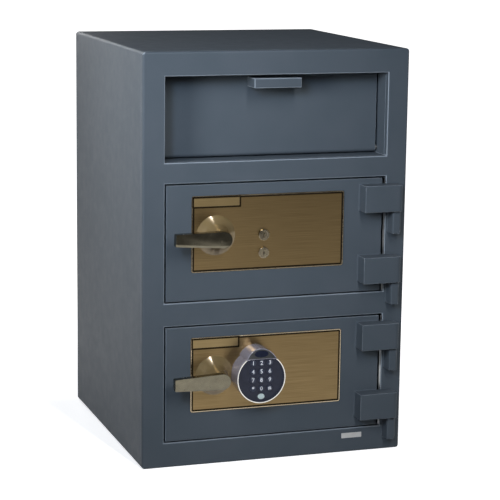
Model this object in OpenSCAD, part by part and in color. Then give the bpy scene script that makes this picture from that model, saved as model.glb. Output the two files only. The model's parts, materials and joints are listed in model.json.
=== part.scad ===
// Deposit safe with a tilt-out drawer over two steel compartments.
// Lengths are millimetres. X points right, Y runs from the front to the back, Z points up.
// The origin is the centre of the base, on the floor.

/* [Body] */
// Width of the body
body_w = 508; // [484:1:620]
// Depth of the body
body_d = 508; // [400:1:700]
// Height of the body
body_h = 762; // [745:1:900]
// Thickness of the folded shell and its inner sheets
shell_t = 2.7; // [2:0.1:4]
// Rounding of the outer corners
corner_r = 6; // [4:0.5:9]
// Rounding of the front edges
front_edge_r = 4; // [2:0.5:6]
// Thickness of the front frame
frame_t = 12.7; // [10:0.1:16]
// Radius of the four anchor holes in the base
anchor_r = 7; // [5:0.5:10]
// Distance between anchor holes, left to right
anchor_x = 340; // [260:5:400]
// Distance between anchor holes, front to back
anchor_y = 340; // [240:5:360]

/* [Openings] */
// Width of the frame beside the openings
stile_w = 41; // [36:1:46]
// Height of the frame over the drawer
top_rail = 44; // [30:1:60]
// Height of the drawer opening
drawer_h = 154; // [120:1:165]
// Height of the rail between the drawer and the upper door
upper_rail = 38; // [32:1:46]
// Height of the rail between the doors
mid_rail = 43; // [38:1:50]
// Height of the frame under the lower door
bottom_rail = 47; // [30:1:70]

/* [Doors] */
// Gap round a door at its top, bottom and bolt side
door_gap = 3; // [1.5:0.1:3.5]
// Gap on the hinge side
hinge_gap = 7; // [5:0.5:9]
// Thickness of a door
door_t = 12.7; // [10:0.1:16]

/* [Hinges] */
// Distance of the hinge axis from the body's right side
hinge_inset = 27.5; // [24:0.5:30]
// Distance of the hinge axis in front of the frame
hinge_out = 16.3; // [15:0.1:18]
// Clearance between a turning block and the frame
hinge_clear = 0.8; // [0.5:0.1:1.5]
// Width of a hinge block, from its free end to the hinge axis
block_reach = 65.5; // [55:0.5:70]
// Height of a hinge block
block_h = 49; // [40:1:54]
// Width of a block beyond the hinge axis
block_end = 8; // [7.5:0.1:10]
// Height of a knuckle
knuckle_h = 41; // [30:1:44]
// Width of a knuckle
knuckle_w = 16; // [14:0.5:18]
// Distance of a knuckle's front in front of the hinge axis
knuckle_front = 9.5; // [8:0.5:11]
// Rounding of a knuckle's front edges
knuckle_round = 3; // [1:0.5:5]
// Gap between a knuckle and its block
knuckle_gap = 1.5; // [1:0.1:2.5]
// Distance of the upper block below the top of its door
block_top_inset = 10; // [8:0.5:20]
// Distance of the lower block above the bottom of its door
block_low_inset = 19; // [12:0.5:22]
// Radius of a hinge pin
pin_r = 4.75; // [4:0.05:5.5]
// Running clearance of every turning pin, at the radius
run_clear = 0.06; // [0.03:0.01:0.09]

/* [Deposit drawer] */
// Distance of the drawer's front behind the frame's front
drawer_recess = 47; // [40:1:60]
// Thickness of the drawer's front
panel_t = 4.8; // [3:0.1:6]
// Gap beside the drawer's front
panel_side_gap = 3.5; // [2:0.1:5]
// Gap over and under the drawer's front
panel_gap = 1.5; // [1:0.1:3]
// Radius of the rolled edge at the drawer's hinge line
barrel_r = 7.5; // [7:0.1:9]
// Radius of the drawer's pivot pins
drawer_pin_r = 5; // [4:0.1:5.5]
// Length of the drawer's floor, from its hinge line
tray_l = 125; // [90:1:135]
// Slope of the drawer's floor
tray_slope = 12; // [8:1:14]
// Tilt of the open drawer, in degrees
drawer_turn = 65; // [45:1:72]
// Sheet thickness of the drawer's floor, cheeks and pull
drawer_sheet = 3; // [2:0.1:4]
// Width of the pull
pull_w = 90; // [70:1:140]
// Height of the pull
pull_h = 18; // [14:0.5:26]
// Depth of the pull
pull_d = 43; // [30:1:44]
// Distance of the pull below the top of the drawer's front
pull_drop = 5; // [3:0.5:12]
// Depth of the opening's surround, behind the drawer's front
surround_lap = 15; // [12:1:18]
// Sheet thickness of the surround
surround_t = 3; // [2:0.1:4]

/* [Inside] */
// Depth of the level part of the deposit shelf
shelf_flat = 165; // [150:1:185]
// Depth of the sloping part of the deposit shelf
shelf_slope = 80; // [60:1:100]
// Drop of the sloping part of the deposit shelf
shelf_drop = 34; // [20:1:40]
// Distance of the baffle behind the frame
baffle_y = 220; // [210:1:235]
// Height of the baffle
baffle_h = 120; // [80:1:130]
// Width of one tooth on the baffle
tooth_w = 25; // [20:1:40]
// Depth of one tooth on the baffle
tooth_d = 14; // [8:1:18]

/* [Escutcheons] */
// Gap between an escutcheon and the hinge blocks
plate_gap = 31; // [20:1:40]
// Height of an escutcheon
plate_h = 140; // [134:1:150]
// Thickness of an escutcheon
plate_t = 1.5; // [1:0.1:2]
// Distance of an escutcheon from its door's free edge
plate_inset = 47; // [42:1:50]
// Height of an escutcheon's centre over the door's centre
plate_rise = 15.5; // [8:0.5:20]
// Corner radius of an escutcheon
plate_r = 4; // [2:0.5:6]

/* [Handles] */
// Distance of a handle's axis from its escutcheon's edge
handle_inset = 45.5; // [44:0.5:47]
// Distance of a handle's axis below its escutcheon's centre
handle_drop = 2.5; // [0:0.5:6]
// Length of a lever, from its axis to its tip
lever_l = 89.5; // [80:0.5:98]
// Tilt of the upper lever at rest, in degrees
upper_lever_tilt = 1.5; // [-3:0.1:3]
// Tilt of the lower lever at rest, in degrees
lower_lever_tilt = -0.7; // [-3:0.1:3]
// Radius of a lever's hub
hub_r = 15; // [13:0.5:17]
// Height of a lever at its tip
lever_tip_h = 22.5; // [16:0.5:24]
// Thickness of a lever
lever_t = 14; // [10:0.5:16]
// Width of the slope on a lever's lower front edge
lever_slope = 5; // [3:0.5:7]
// Depth of that slope
lever_slope_t = 2.5; // [1.5:0.5:5]
// Distance of a lever's back in front of the door
lever_out = 40; // [34:1:44]
// Radius of a handle boss at the escutcheon
boss_base_r = 29; // [26:0.5:30]
// Radius of a handle boss at the lever
boss_neck_r = 15; // [13:0.5:16]
// Radius of the boss's flared side
boss_flare_r = 56; // [45:1:70]
// Radius of a handle's spindle
spindle_r = 6.35; // [5:0.05:7]
// Turn of a handle that throws the bolts, in degrees
handle_turn = 60; // [50:1:70]

/* [Boltwork] */
// Radius of a locking bolt
bolt_r = 12.7; // [10:0.1:13.5]
// Length of a locking bolt
bolt_l = 44; // [36:1:50]
// Distance of the outer bolts' axes from their door's top and bottom edges
bolt_margin = 34; // [30:1:46]
// Distance of a locking bolt's axis behind its door
bolt_back = 18; // [16:0.5:20]
// Distance of a withdrawn bolt's tip inside the door's edge
bolt_setback = 4; // [3:0.5:6]
// Radius of the crank that drives the bolts
crank_r = 20; // [18:0.5:22]
// Radius of the crank's pin
crank_pin_r = 5; // [4:0.1:5.5]
// Radius of the cam that carries the crank's pin
cam_r = 27.5; // [26.5:0.1:28]
// Thickness of the cam
cam_t = 6; // [5:0.1:7]
// Thickness of the bolt bar's plate
bar_t = 5; // [4:0.1:6]
// Height of the bolt bar's arm
arm_h = 18; // [17:0.5:20]
// Distance that a lock's bolt travels
lock_throw = 9; // [7:0.5:10]
// Width of a lock's bolt
lock_bolt_w = 12; // [10:0.5:13]
// Thickness of a lock's bolt
lock_bolt_t = 8; // [6:0.5:9]
// Overlap of the dead bar behind the frame
dead_bar_lap = 6; // [4:0.5:7]

/* [Key lock] */
// Distance of the key lock's axis from its escutcheon's edge
nose_inset = 137; // [132:1:142]
// Distance between the two key noses
nose_pitch = 33; // [30:0.5:36]
// Distance of the upper nose below the handle's axis
nose_drop = 3; // [0:0.5:6]
// Radius of a nose's rim
nose_r = 10.2; // [9.8:0.1:12]
// Radius of a nose's sleeve
sleeve_r = 9; // [8:0.1:9.6]
// Radius of a turning key plug
plug_r = 6.5; // [5.5:0.1:7]
// Width of the key lock's case
key_case_w = 76; // [60:1:80]
// Height of the key lock's case
key_case_h = 92; // [84:1:96]

/* [Keypad] */
// Distance of the keypad's axis from its escutcheon's edge
pad_inset = 122; // [119:1:125]
// Distance of the keypad's axis below its escutcheon's centre
pad_drop = 3; // [0:0.5:5]
// Radius of the keypad's rim
pad_r = 46.5; // [46:0.5:48]
// Distance of the keypad's rim in front of the door
pad_out = 45; // [36:1:50]
// Radius of the keypad's dark face
face_r = 42; // [41:0.5:43]
// Thickness of the keypad's face
face_t = 3; // [2:0.1:4]
// Distance of the face behind the rim
face_drop = 1.2; // [0.6:0.1:2]
// Radius of a key
key_r = 5.6; // [4.5:0.1:6]
// Distance between keys
key_pitch = 16; // [15:0.1:16.2]
// Height of the key field's centre over the keypad's axis
key_rise = 5.2; // [3:0.1:5.5]
// Height of the visor's lower edge over the keypad's axis
visor_z = 36.4; // [35.5:0.1:36.5]
// Distance of the visor's front in front of the rim
visor_proud = 1; // [0:0.1:2]
// Height of the visor's crown over the keypad's axis
crown_top = 55; // [51:0.5:58]
// Half the width at which the crown leaves the rim
crown_half = 28; // [26:0.5:28]
// Backward lean of the crown's front, in degrees
crown_lean = 18; // [10:1:25]
// Travel of a key
key_travel = 1; // [0.6:0.1:1.5]
// Width of the electronic lock's case
code_case_w = 64; // [56:1:72]
// Height of the electronic lock's case
code_case_h = 84; // [76:1:90]

/* [Hidden] */
$fn = 64;

paint = "slategray";
bare_steel = "silver";
dark_steel = "dimgray";
brass_tone = "darkkhaki";
chrome = "lightgray";
rubber = "black";

// A small overrun that keeps cuts clean
cut = 0.5;
// Gap between pieces of one body that seat on each other
seat = 0.05;
// Gap between a piece at rest and the stop that it meets
stop_gap = 0.3;

front_y = -body_d / 2;
inner_half = body_w / 2 - shell_t;
inner_r = max(0.5, corner_r - shell_t);
open_half = body_w / 2 - stile_w;
inner_back = body_d - shell_t;

drawer_top = body_h - top_rail;
drawer_low = drawer_top - drawer_h;
upper_top = drawer_low - upper_rail;
door_open_h = (upper_top - mid_rail - bottom_rail) / 2;
upper_low = upper_top - door_open_h;
lower_top = upper_low - mid_rail;
lower_low = lower_top - door_open_h;

door_x0 = -open_half + door_gap;
door_x1 = open_half - hinge_gap;
door_half_h = door_open_h / 2 - door_gap;
door_z = door_open_h / 2;
hinge_x = body_w / 2 - hinge_inset;
block_turn_r = hinge_out - hinge_clear;
knuckle_floor = 6;
pin_cover = 12;
pin_end_gap = 1;
pin_reach = block_h - pin_cover;
block_levels = [
  door_half_h - block_top_inset - block_h,
  -door_half_h + block_low_inset
];

plate_x0 = door_x0 + plate_inset;
plate_x1 = hinge_x - block_reach - plate_gap;
handle_x = plate_x0 + handle_inset;
handle_rise = plate_rise - handle_drop;
key_lock_x = plate_x0 + nose_inset;
nose_levels = [handle_rise - nose_drop, handle_rise - nose_drop - nose_pitch];
key_case_rise = handle_rise - nose_drop - nose_pitch / 2;
pad_x = plate_x0 + pad_inset;
pad_rise = plate_rise - pad_drop;

bolt_pitch = door_half_h - bolt_margin;
bolt_y = door_t + bolt_back;
bolt_tip_x = door_x0 + bolt_setback;
bolt_end_x = bolt_tip_x + bolt_l;
bar_w = 12;
bar_end_x = bolt_end_x + bar_w;
bar_depth = 22;
bar_margin = 4;
web_over = 17;
web_drop = 12;
guide_inset = 10;
guide_x = door_x0 + guide_inset;
guide_t = 6;
guide_foot = 24;
guide_foot_t = 3;
guide_margin = 8;
guide_depth = bolt_back + bolt_r + guide_t;
bolt_throw = 2 * crank_r * sin(handle_turn / 2);
cam_gap = 7.3;
cam_y = door_t + cam_gap;
arm_y = cam_y + cam_t + 2;
crank_pin_end = arm_y + bar_t + 3;
stud_r = 4;
stud_collar = 3.5;
slot_clear = 0.3;
arm_gap = 2;
lock_tip_gap = 1.5;
notch_clear = 0.75;
notch_depth = lock_throw + 0.5;
case_t = 25;
lock_bolt_y = arm_y + bar_t / 2;
lock_bolt_l = 30;
arm_over = 8;
stud_inset = 12;
dead_bar_d = 15;
dead_bar_w = 19;
dead_bar_inset = 2;
dead_bar_margin = 12;
dead_bar_gap = 4.3;
lug_inset = 4;
lug_h = 10;
lug_w = 20;
lug_d = 6;
lug_lap = 7;

drawer_half = open_half - panel_side_gap;
pivot_y = drawer_recess + barrel_r;
pivot_z = drawer_low + panel_gap + barrel_r;
panel_top = drawer_top - panel_gap;
surround_back = drawer_recess + surround_lap;
bracket_t = 8;
bracket_margin = 8;
drawer_stop_w = 20;
drawer_stop_h = 16;
drawer_stop_inset = 40;
shelf_rise = 12;
cheek_over = 14;
cheek_gap = 3;
cheek_r = min(tray_l + cheek_over, panel_top - pivot_z - cheek_gap);
tooth_reach = 5;
tooth_r = drawer_top - pivot_z + tooth_reach;
tooth_lead = atan2(drawer_top - pivot_z, surround_back - pivot_y) - drawer_turn - 0.2;
tooth_turn = 4;
pivot_pin_in = 18;

boss_out = lever_out - 0.5;
tip_round = 2;
spindle_out = lever_out + lever_t - 5;

KEYS = [
  [-1, 1.5], [0, 1.5], [1, 1.5],
  [-1, 0.5], [0, 0.5], [1, 0.5],
  [-1, -0.5], [0, -0.5], [1, -0.5],
  [-1, -1.5], [0, -1.5], [1, -1.5]
];
face_out = pad_out - face_drop;
key_proud = 1.2;
key_flange_t = 1;
key_flange_w = 1.2;
key_flange_gap = 0.2;
key_hole_gap = 0.25;
visor_gap = 0.15;
wire_hole_r = 6;
spindle_hole_gap = 1.5;
rim_round = min(4, pad_r - face_r - 0.5);
crown_leave = sqrt(pad_r * pad_r - crown_half * crown_half);
crown_h = crown_top - crown_leave;
crown_r = (crown_half * crown_half + crown_h * crown_h) / (2 * crown_h);
nose_t = 3;
nose_out = plate_t + nose_t;
plug_out = nose_out + 0.2;
plug_in = 9;
keyway_w = 1.8;
keyway_h = 8.4;
keyway_step_w = 2;
keyway_step_h = 2.8;
keyway_depth = 8;
pocket_out = face_out - face_t - key_flange_t - key_travel - 1.2;

// Places children with Y counted from the frame's front face
module from_front() {
  translate([0, front_y, 0]) children();
}

// Extrudes a flat XZ shape from depth y0 to depth y1
module along_y(y0, y1) {
  translate([0, y1, 0]) rotate([90, 0, 0]) linear_extrude(height = y1 - y0) children();
}

// Extrudes a flat YZ shape across the given X range
module along_x(x0, x1) {
  translate([x0, 0, 0]) rotate([90, 0, 90]) linear_extrude(height = x1 - x0) children();
}

// A cylinder along Y from depth y0 to depth y1, at x and z
module rod_y(r, x, z, y0, y1) {
  translate([x, y1, z]) rotate([90, 0, 0]) cylinder(r = r, h = y1 - y0);
}

// A cylinder along X
module rod_x(r, y, z, x0, x1) {
  translate([x0, y, z]) rotate([0, 90, 0]) cylinder(r = r, h = x1 - x0);
}

// A box from two opposite corners
module block(low, high) {
  translate(low) cube(high - low);
}

// A flat rectangle with round corners, from two opposite corners
module round_rect(x0, y0, x1, y1, r) {
  translate([x0 + r, y0]) square([x1 - x0 - 2 * r, y1 - y0]);
  translate([x0, y0 + r]) square([x1 - x0, y1 - y0 - 2 * r]);
  for (x = [x0 + r, x1 - r]) for (y = [y0 + r, y1 - r]) translate([x, y]) circle(r = r);
}

// The body's outline from the front
module body_outline() {
  round_rect(-body_w / 2, 0, body_w / 2, body_h, corner_r);
}

// Mirrors children to the left side as well
module both_sides() {
  children();
  mirror([1, 0, 0]) children();
}

// Shell, back and front frame

module body_shell() {
  color(paint) from_front() difference() {
    along_y(frame_t, body_d) body_outline();
    along_y(frame_t - cut, body_d + cut)
      round_rect(-inner_half, shell_t, inner_half, body_h - shell_t, inner_r);
    for (x = [-anchor_x, anchor_x] / 2) for (y = [-anchor_y, anchor_y] / 2)
      translate([x, body_d / 2 + y, -cut]) cylinder(r = anchor_r, h = shell_t + 2 * cut);
  }
}

module back_panel() {
  color(paint) from_front() along_y(inner_back, body_d)
    round_rect(-inner_half, shell_t, inner_half, body_h - shell_t, inner_r);
}

module front_frame() {
  color(paint) from_front() difference() {
    intersection() {
      along_y(0, frame_t) body_outline();
      along_x(-body_w / 2, body_w / 2) front_edge_profile(0, body_h);
      linear_extrude(height = body_h) rotate(-90) mirror([1, 0])
        front_edge_profile(-body_w / 2, body_w / 2);
    }
    block([-open_half, -cut, drawer_low], [open_half, frame_t + cut, drawer_top]);
    block([-open_half, -cut, upper_low], [open_half, frame_t + cut, upper_top]);
    block([-open_half, -cut, lower_low], [open_half, frame_t + cut, lower_top]);
  }
}

// The frame's section, with its front edges rounded
module front_edge_profile(low, high) {
  r = front_edge_r;
  translate([r, low]) square([frame_t - r, high - low]);
  translate([0, low + r]) square([frame_t, high - low - 2 * r]);
  for (z = [low + r, high - r]) translate([r, z]) circle(r = r);
}

// Deposit drawer: fixed pieces

module drawer_surround() {
  color(paint) from_front() difference() {
    along_y(frame_t, surround_back) difference() {
      frame_rect(open_half + surround_t, drawer_low - surround_t, drawer_top + surround_t);
      frame_rect(open_half, drawer_low, drawer_top);
    }
    rod_x(drawer_pin_r + 1, pivot_y, pivot_z, -open_half - surround_t - cut, open_half + surround_t + cut);
  }
}

// A flat rectangle that is centred on X
module frame_rect(half, low, high) {
  translate([-half, low]) square([2 * half, high - low]);
}

module drawer_brackets() {
  x0 = open_half + surround_t;
  reach = barrel_r + bracket_margin;
  color(dark_steel) from_front() both_sides() difference() {
    block([x0, pivot_y - reach, drawer_low - surround_t], [x0 + bracket_t, pivot_y + reach, pivot_z + reach]);
    rod_x(drawer_pin_r + run_clear, pivot_y, pivot_z, x0 - cut, x0 + bracket_t + cut);
  }
}

module drawer_stops() {
  x1 = drawer_half - drawer_stop_inset;
  color(rubber) from_front() both_sides() block(
    [x1 - drawer_stop_w, drawer_recess + panel_t + stop_gap, drawer_top - drawer_stop_h],
    [x1, surround_back, drawer_top]
  );
}

module deposit_shelf() {
  z0 = upper_top + shelf_rise;
  y1 = shelf_flat + shelf_slope;
  slope_t = 1.2 * shell_t;
  color(dark_steel) from_front() along_x(-inner_half, inner_half) polygon([
    [frame_t, z0], [shelf_flat, z0], [y1, z0 - shelf_drop],
    [y1, z0 - shelf_drop + slope_t], [shelf_flat, z0 + shell_t], [frame_t, z0 + shell_t]
  ]);
}

// A plate that hangs behind the drawer, with a saw-tooth lower edge
module deposit_baffle() {
  top = body_h - shell_t;
  low = top - baffle_h;
  count = floor(2 * (inner_half - 6) / tooth_w);
  half = count * tooth_w / 2;
  color(dark_steel) from_front() along_y(baffle_y, baffle_y + shell_t) polygon(concat(
    [[half, top], [-half, top]],
    [for (i = [0:count - 1]) each [
      [-half + i * tooth_w, low + tooth_d],
      [-half + (i + 0.5) * tooth_w, low]
    ]],
    [[half, low + tooth_d]]
  ));
}

module compartment_divider() {
  z0 = (upper_low + lower_top - shell_t) / 2;
  color(dark_steel) from_front() block([-inner_half, frame_t, z0], [inner_half, inner_back, z0 + shell_t]);
}

// Lugs that stop a closed door from going in too far
module jamb_stops() {
  back = frame_t + lug_d;
  color(dark_steel) from_front() for (low = [lower_low, upper_low])
    for (z = [low + lug_inset, low + door_open_h - lug_inset - lug_h]) {
      block([-open_half - lug_w, frame_t, z], [-open_half, back, z + lug_h]);
      block([-open_half, door_t + stop_gap, z], [door_x0 + lug_lap, back, z + lug_h]);
    }
}

// Hinges

module hinge_knuckles() {
  color(paint) from_front() each_block() translate([0, 0, -knuckle_gap - knuckle_h]) difference() {
    linear_extrude(height = knuckle_h) {
      translate([-knuckle_w / 2, 0]) square([knuckle_w, hinge_out]);
      round_rect(-knuckle_w / 2, -knuckle_front, knuckle_w / 2, knuckle_front, knuckle_round);
    }
    translate([0, 0, knuckle_floor]) cylinder(r = pin_r + seat, h = knuckle_h);
  }
}

// Places children on the hinge axis, at the underside of each of the four blocks
module each_block() {
  for (low = [lower_low, upper_low]) for (level = block_levels)
    translate([hinge_x, -hinge_out, mid_z(low) + level]) children();
}

module hinge_pins() {
  collar = knuckle_gap - stop_gap;
  color(bare_steel) from_front() each_block() {
    translate([0, 0, -knuckle_gap - knuckle_h + knuckle_floor])
      cylinder(r = pin_r, h = knuckle_h - knuckle_floor + knuckle_gap + pin_reach);
    translate([0, 0, -knuckle_gap]) cylinder(r = pin_r + 2, h = collar);
  }
}

// Hinge blocks of a door whose opening starts at height low
module hinge_blocks(low) {
  color(paint) from_front() for (level = block_levels)
    translate([hinge_x, -hinge_out, mid_z(low) + level]) difference() {
      linear_extrude(height = block_h) {
        translate([-block_reach, -block_turn_r]) square([block_reach, 2 * block_turn_r]);
        translate([-block_reach, 0]) square([door_x1 - hinge_x + block_reach, hinge_out]);
        intersection() {
          circle(r = block_turn_r);
          translate([-block_turn_r, -block_turn_r]) square([block_turn_r + block_end, 2 * block_turn_r]);
        }
      }
      translate([0, 0, -cut]) cylinder(r = pin_r + run_clear, h = pin_reach + pin_end_gap + cut);
    }
}

// Deposit drawer: the piece that tilts out

module drawer_front() {
  color(paint) from_front() difference() {
    union() {
      block([-drawer_half, drawer_recess, pivot_z], [drawer_half, drawer_recess + panel_t, panel_top]);
      rod_x(barrel_r, pivot_y, pivot_z, -drawer_half, drawer_half);
    }
    both_sides()
      rod_x(drawer_pin_r + seat, pivot_y, pivot_z, drawer_half - pivot_pin_in, drawer_half + cut);
  }
}

module drawer_pull() {
  top = panel_top - pull_drop;
  half = pull_w / 2;
  front = drawer_recess - pull_d;
  t = drawer_sheet;
  color(paint) from_front() difference() {
    block([-half, front, top - pull_h], [half, drawer_recess, top]);
    block([t - half, front + t, top - pull_h - cut], [half - t, drawer_recess + cut, top - t]);
  }
}

module drawer_floor() {
  color(dark_steel) from_front() translate([0, pivot_y, pivot_z]) rotate([-tray_slope, 0, 0])
    block([-drawer_half, barrel_r + seat, -drawer_sheet / 2], [drawer_half, tray_l, drawer_sheet / 2]);
}

// Side plates that close the drawer's ends between its front and its floor.
// Each has a tooth that meets the surround when the drawer is open.
module drawer_cheeks() {
  y0 = panel_t - barrel_r + seat;
  root_r = cheek_r - tooth_reach;
  color(dark_steel) from_front() translate([0, pivot_y, pivot_z]) both_sides()
    along_x(drawer_half - drawer_sheet, drawer_half) {
      difference() {
        circle(r = cheek_r);
        circle(r = barrel_r + seat);
        translate([-2 * cheek_r + y0, -2 * cheek_r]) square([2 * cheek_r, 4 * cheek_r]);
        rotate(-tray_slope) translate([-cheek_r, -2 * cheek_r + drawer_sheet / 2 + seat])
          square([3 * cheek_r, 2 * cheek_r]);
      }
      rotate(tooth_lead) polygon([
        [root_r, 0], [tooth_r, 0],
        [tooth_r * cos(tooth_turn), -tooth_r * sin(tooth_turn)],
        [root_r * cos(tooth_turn), -root_r * sin(tooth_turn)]
      ]);
    }
}

module drawer_pivot_pins() {
  color(bare_steel) from_front() both_sides() rod_x(
    drawer_pin_r, pivot_y, pivot_z, drawer_half - pivot_pin_in, open_half + surround_t + bracket_t
  );
}

// Doors, escutcheons and handles. Each takes the height of its opening's lower edge.

// Height of a door's centre, and of its handle's axis
function mid_z(low) = low + door_z;
function axis_z(low) = mid_z(low) + handle_rise;

module door_plate(low) {
  block([door_x0, 0, low + door_gap], [door_x1, door_t, low + door_open_h - door_gap]);
}

module upper_door() {
  color(paint) from_front() difference() {
    door_plate(upper_low);
    rod_y(spindle_r + spindle_hole_gap, handle_x, axis_z(upper_low), -cut, door_t + cut);
    for (rise = nose_levels) rod_y(sleeve_r + seat, key_lock_x, mid_z(upper_low) + rise, -cut, door_t + cut);
  }
}

module lower_door() {
  color(paint) from_front() difference() {
    door_plate(lower_low);
    rod_y(spindle_r + spindle_hole_gap, handle_x, axis_z(lower_low), -cut, door_t + cut);
    rod_y(wire_hole_r, pad_x, mid_z(lower_low) + pad_rise, -cut, door_t + cut);
  }
}

module escutcheon_blank(low) {
  z = mid_z(low) + plate_rise;
  along_y(-plate_t, 0) round_rect(plate_x0, z - plate_h / 2, plate_x1, z + plate_h / 2, plate_r);
}

module upper_escutcheon() {
  color(brass_tone) from_front() difference() {
    escutcheon_blank(upper_low);
    rod_y(spindle_r + spindle_hole_gap, handle_x, axis_z(upper_low), -plate_t - cut, cut);
    for (rise = nose_levels) rod_y(sleeve_r + seat, key_lock_x, mid_z(upper_low) + rise, -plate_t - cut, cut);
  }
}

module lower_escutcheon() {
  color(brass_tone) from_front() difference() {
    escutcheon_blank(lower_low);
    rod_y(spindle_r + spindle_hole_gap, handle_x, axis_z(lower_low), -plate_t - cut, cut);
    rod_y(wire_hole_r, pad_x, mid_z(lower_low) + pad_rise, -plate_t - cut, cut);
  }
}

// A flared boss that carries the spindle
module handle_boss(x, low) {
  bore = spindle_r + run_clear;
  height = boss_out - plate_t;
  color(chrome) from_front() translate([x, -plate_t, axis_z(low)]) rotate([90, 0, 0])
    rotate_extrude() difference() {
      translate([bore, 0]) square([boss_base_r - bore, height]);
      translate([boss_neck_r + boss_flare_r, height + 1]) circle(r = boss_flare_r, $fn = 180);
    }
}

// A lever that points to the door's free edge, with its lower front edge sloped
module lever(x, low, tilt) {
  color(chrome) from_front() translate([x, 0, axis_z(low)]) difference() {
    rotate([0, tilt, 0]) hull() {
      along_y(-lever_out - lever_t + lever_slope_t, -lever_out) lever_outline(0);
      along_y(-lever_out - lever_t, -lever_out) lever_outline(lever_slope);
    }
    rod_y(spindle_r + seat, 0, 0, -spindle_out, -lever_out + cut);
  }
}

// The two ends of a lever's outline, with its lower edge raised
module lever_outline(raise) {
  tip = lever_tip_h / 2;
  difference() {
    circle(r = hub_r);
    translate([-hub_r, -hub_r - cut]) square([2 * hub_r, raise + cut]);
  }
  for (z = [tip - tip_round, tip_round - tip + raise])
    translate([-lever_l + tip_round, z]) circle(r = tip_round, $fn = 24);
}

module spindle(x, low) {
  color(bare_steel) from_front() rod_y(spindle_r, x, axis_z(low), -spindle_out + seat, cam_y + cam_t);
}

// Cam on the spindle's inner end. Its pin stands behind it, over the axis.
module cam(x, low) {
  z = axis_z(low);
  a = handle_turn / 2;
  color(dark_steel) from_front() difference() {
    union() {
      rod_y(cam_r, x, z, cam_y, cam_y + cam_t);
      rod_y(crank_pin_r, x + crank_r * sin(a), z + crank_r * cos(a), cam_y + cam_t / 2, crank_pin_end);
    }
    rod_y(spindle_r + seat, x, z, cam_y - cut, cam_y + cam_t + cut);
  }
}

// Boltwork. case_top is the height of the lock case's top over the door's centre.

key_case_top = key_case_rise + key_case_h / 2;
code_case_top = pad_rise + code_case_h / 2;

// The bar that carries the bolts, with an arm over the lock case
module bolt_bar(x, low, lock_x, case_top) {
  z = mid_z(low);
  arm_z = z + case_top + arm_gap;
  pin_x = x + crank_r * sin(handle_turn / 2);
  pin_low = z + handle_rise + crank_r * cos(handle_turn / 2);
  pin_high = z + handle_rise + crank_r;
  bar_half = bolt_pitch + bolt_r + bar_margin;
  bar_y = bolt_y - bar_depth / 2;
  arm_end_x = lock_x + lock_bolt_w / 2 + bolt_throw + arm_over;
  color(bare_steel) from_front() difference() {
    union() {
      block([bolt_end_x, bar_y, z - bar_half], [bar_end_x, bar_y + bar_depth, z + bar_half]);
      block([bar_end_x - 1, arm_y, pin_low - web_drop], [pin_x + web_over, arm_y + bar_t, arm_z + arm_h]);
      block([bar_end_x, arm_y, arm_z], [arm_end_x, arm_y + bar_t, arm_z + arm_h]);
    }
    along_y(arm_y - cut, arm_y + bar_t + cut) {
      slot_v(pin_x, pin_low, pin_high, crank_pin_r + slot_clear);
      for (sx = stud_places(lock_x)) slot_h(sx, sx + bolt_throw, arm_z + arm_h / 2, stud_r + slot_clear);
      translate([lock_x, arm_z]) children();
    }
  }
}

function stud_places(lock_x) = [
  bar_end_x + stud_inset,
  lock_x - lock_bolt_w / 2 - bolt_throw - stud_r - stud_inset
];

// Upright and level slots, from the centre of one end to the centre of the other
module slot_v(x, z0, z1, r) {
  translate([x, z0]) circle(r = r);
  translate([x, z1]) circle(r = r);
  translate([x - r, z0]) square([2 * r, z1 - z0]);
}

module slot_h(x0, x1, z, r) {
  translate([x0, z]) circle(r = r);
  translate([x1, z]) circle(r = r);
  translate([x0, z - r]) square([x1 - x0, 2 * r]);
}

// Two pockets, so that the key lock holds the bar both withdrawn and thrown
module key_notches() {
  half = lock_bolt_w / 2 + notch_clear;
  for (x = [0, bolt_throw]) translate([x - half, -cut]) square([2 * half, notch_depth + cut]);
}

// One pocket with a ramp that lifts out as the bar goes back
module code_notch() {
  half = lock_bolt_w / 2 + notch_clear;
  rise = lock_throw / bolt_throw;
  x0 = -lock_bolt_w / 2;
  ramp_end = bolt_throw - half;
  drop = lock_tip_gap - notch_clear;
  polygon([
    [x0 + (drop - cut) / rise, -cut], [ramp_end, rise * (ramp_end - x0) - drop],
    [ramp_end, notch_depth], [bolt_throw + half, notch_depth], [bolt_throw + half, -cut]
  ]);
}

module bolts(low) {
  chamfer = 2;
  color(chrome) from_front() for (i = [-1, 0, 1])
    translate([bolt_tip_x, bolt_y, mid_z(low) + i * bolt_pitch]) rotate([0, 90, 0]) {
      cylinder(r1 = bolt_r - chamfer, r2 = bolt_r, h = chamfer);
      translate([0, 0, chamfer]) cylinder(r = bolt_r, h = bolt_l - chamfer);
    }
}

// Angle plate that guides the bolts, and the studs that guide the arm
module bolt_guides(low, lock_x, case_top) {
  z = mid_z(low);
  half = bolt_pitch + bolt_r + guide_margin;
  stud_z = z + case_top + arm_gap + arm_h / 2;
  color(dark_steel) from_front() {
    difference() {
      union() {
        block([guide_x, door_t, z - half], [guide_x + guide_t, door_t + guide_depth, z + half]);
        block([guide_x, door_t, z - half], [guide_x + guide_foot, door_t + guide_foot_t, z + half]);
      }
      for (i = [-1, 0, 1])
        rod_x(bolt_r + run_clear, bolt_y, z + i * bolt_pitch, guide_x - cut, guide_x + guide_t + cut);
    }
    for (sx = stud_places(lock_x)) {
      rod_y(stud_r, sx, stud_z, door_t, arm_y + bar_t + 5);
      rod_y(stud_r + stud_collar, sx, stud_z, door_t, arm_y - 1);
      rod_y(stud_r + stud_collar, sx, stud_z, arm_y + bar_t + 1, arm_y + bar_t + 3);
    }
  }
}

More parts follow.
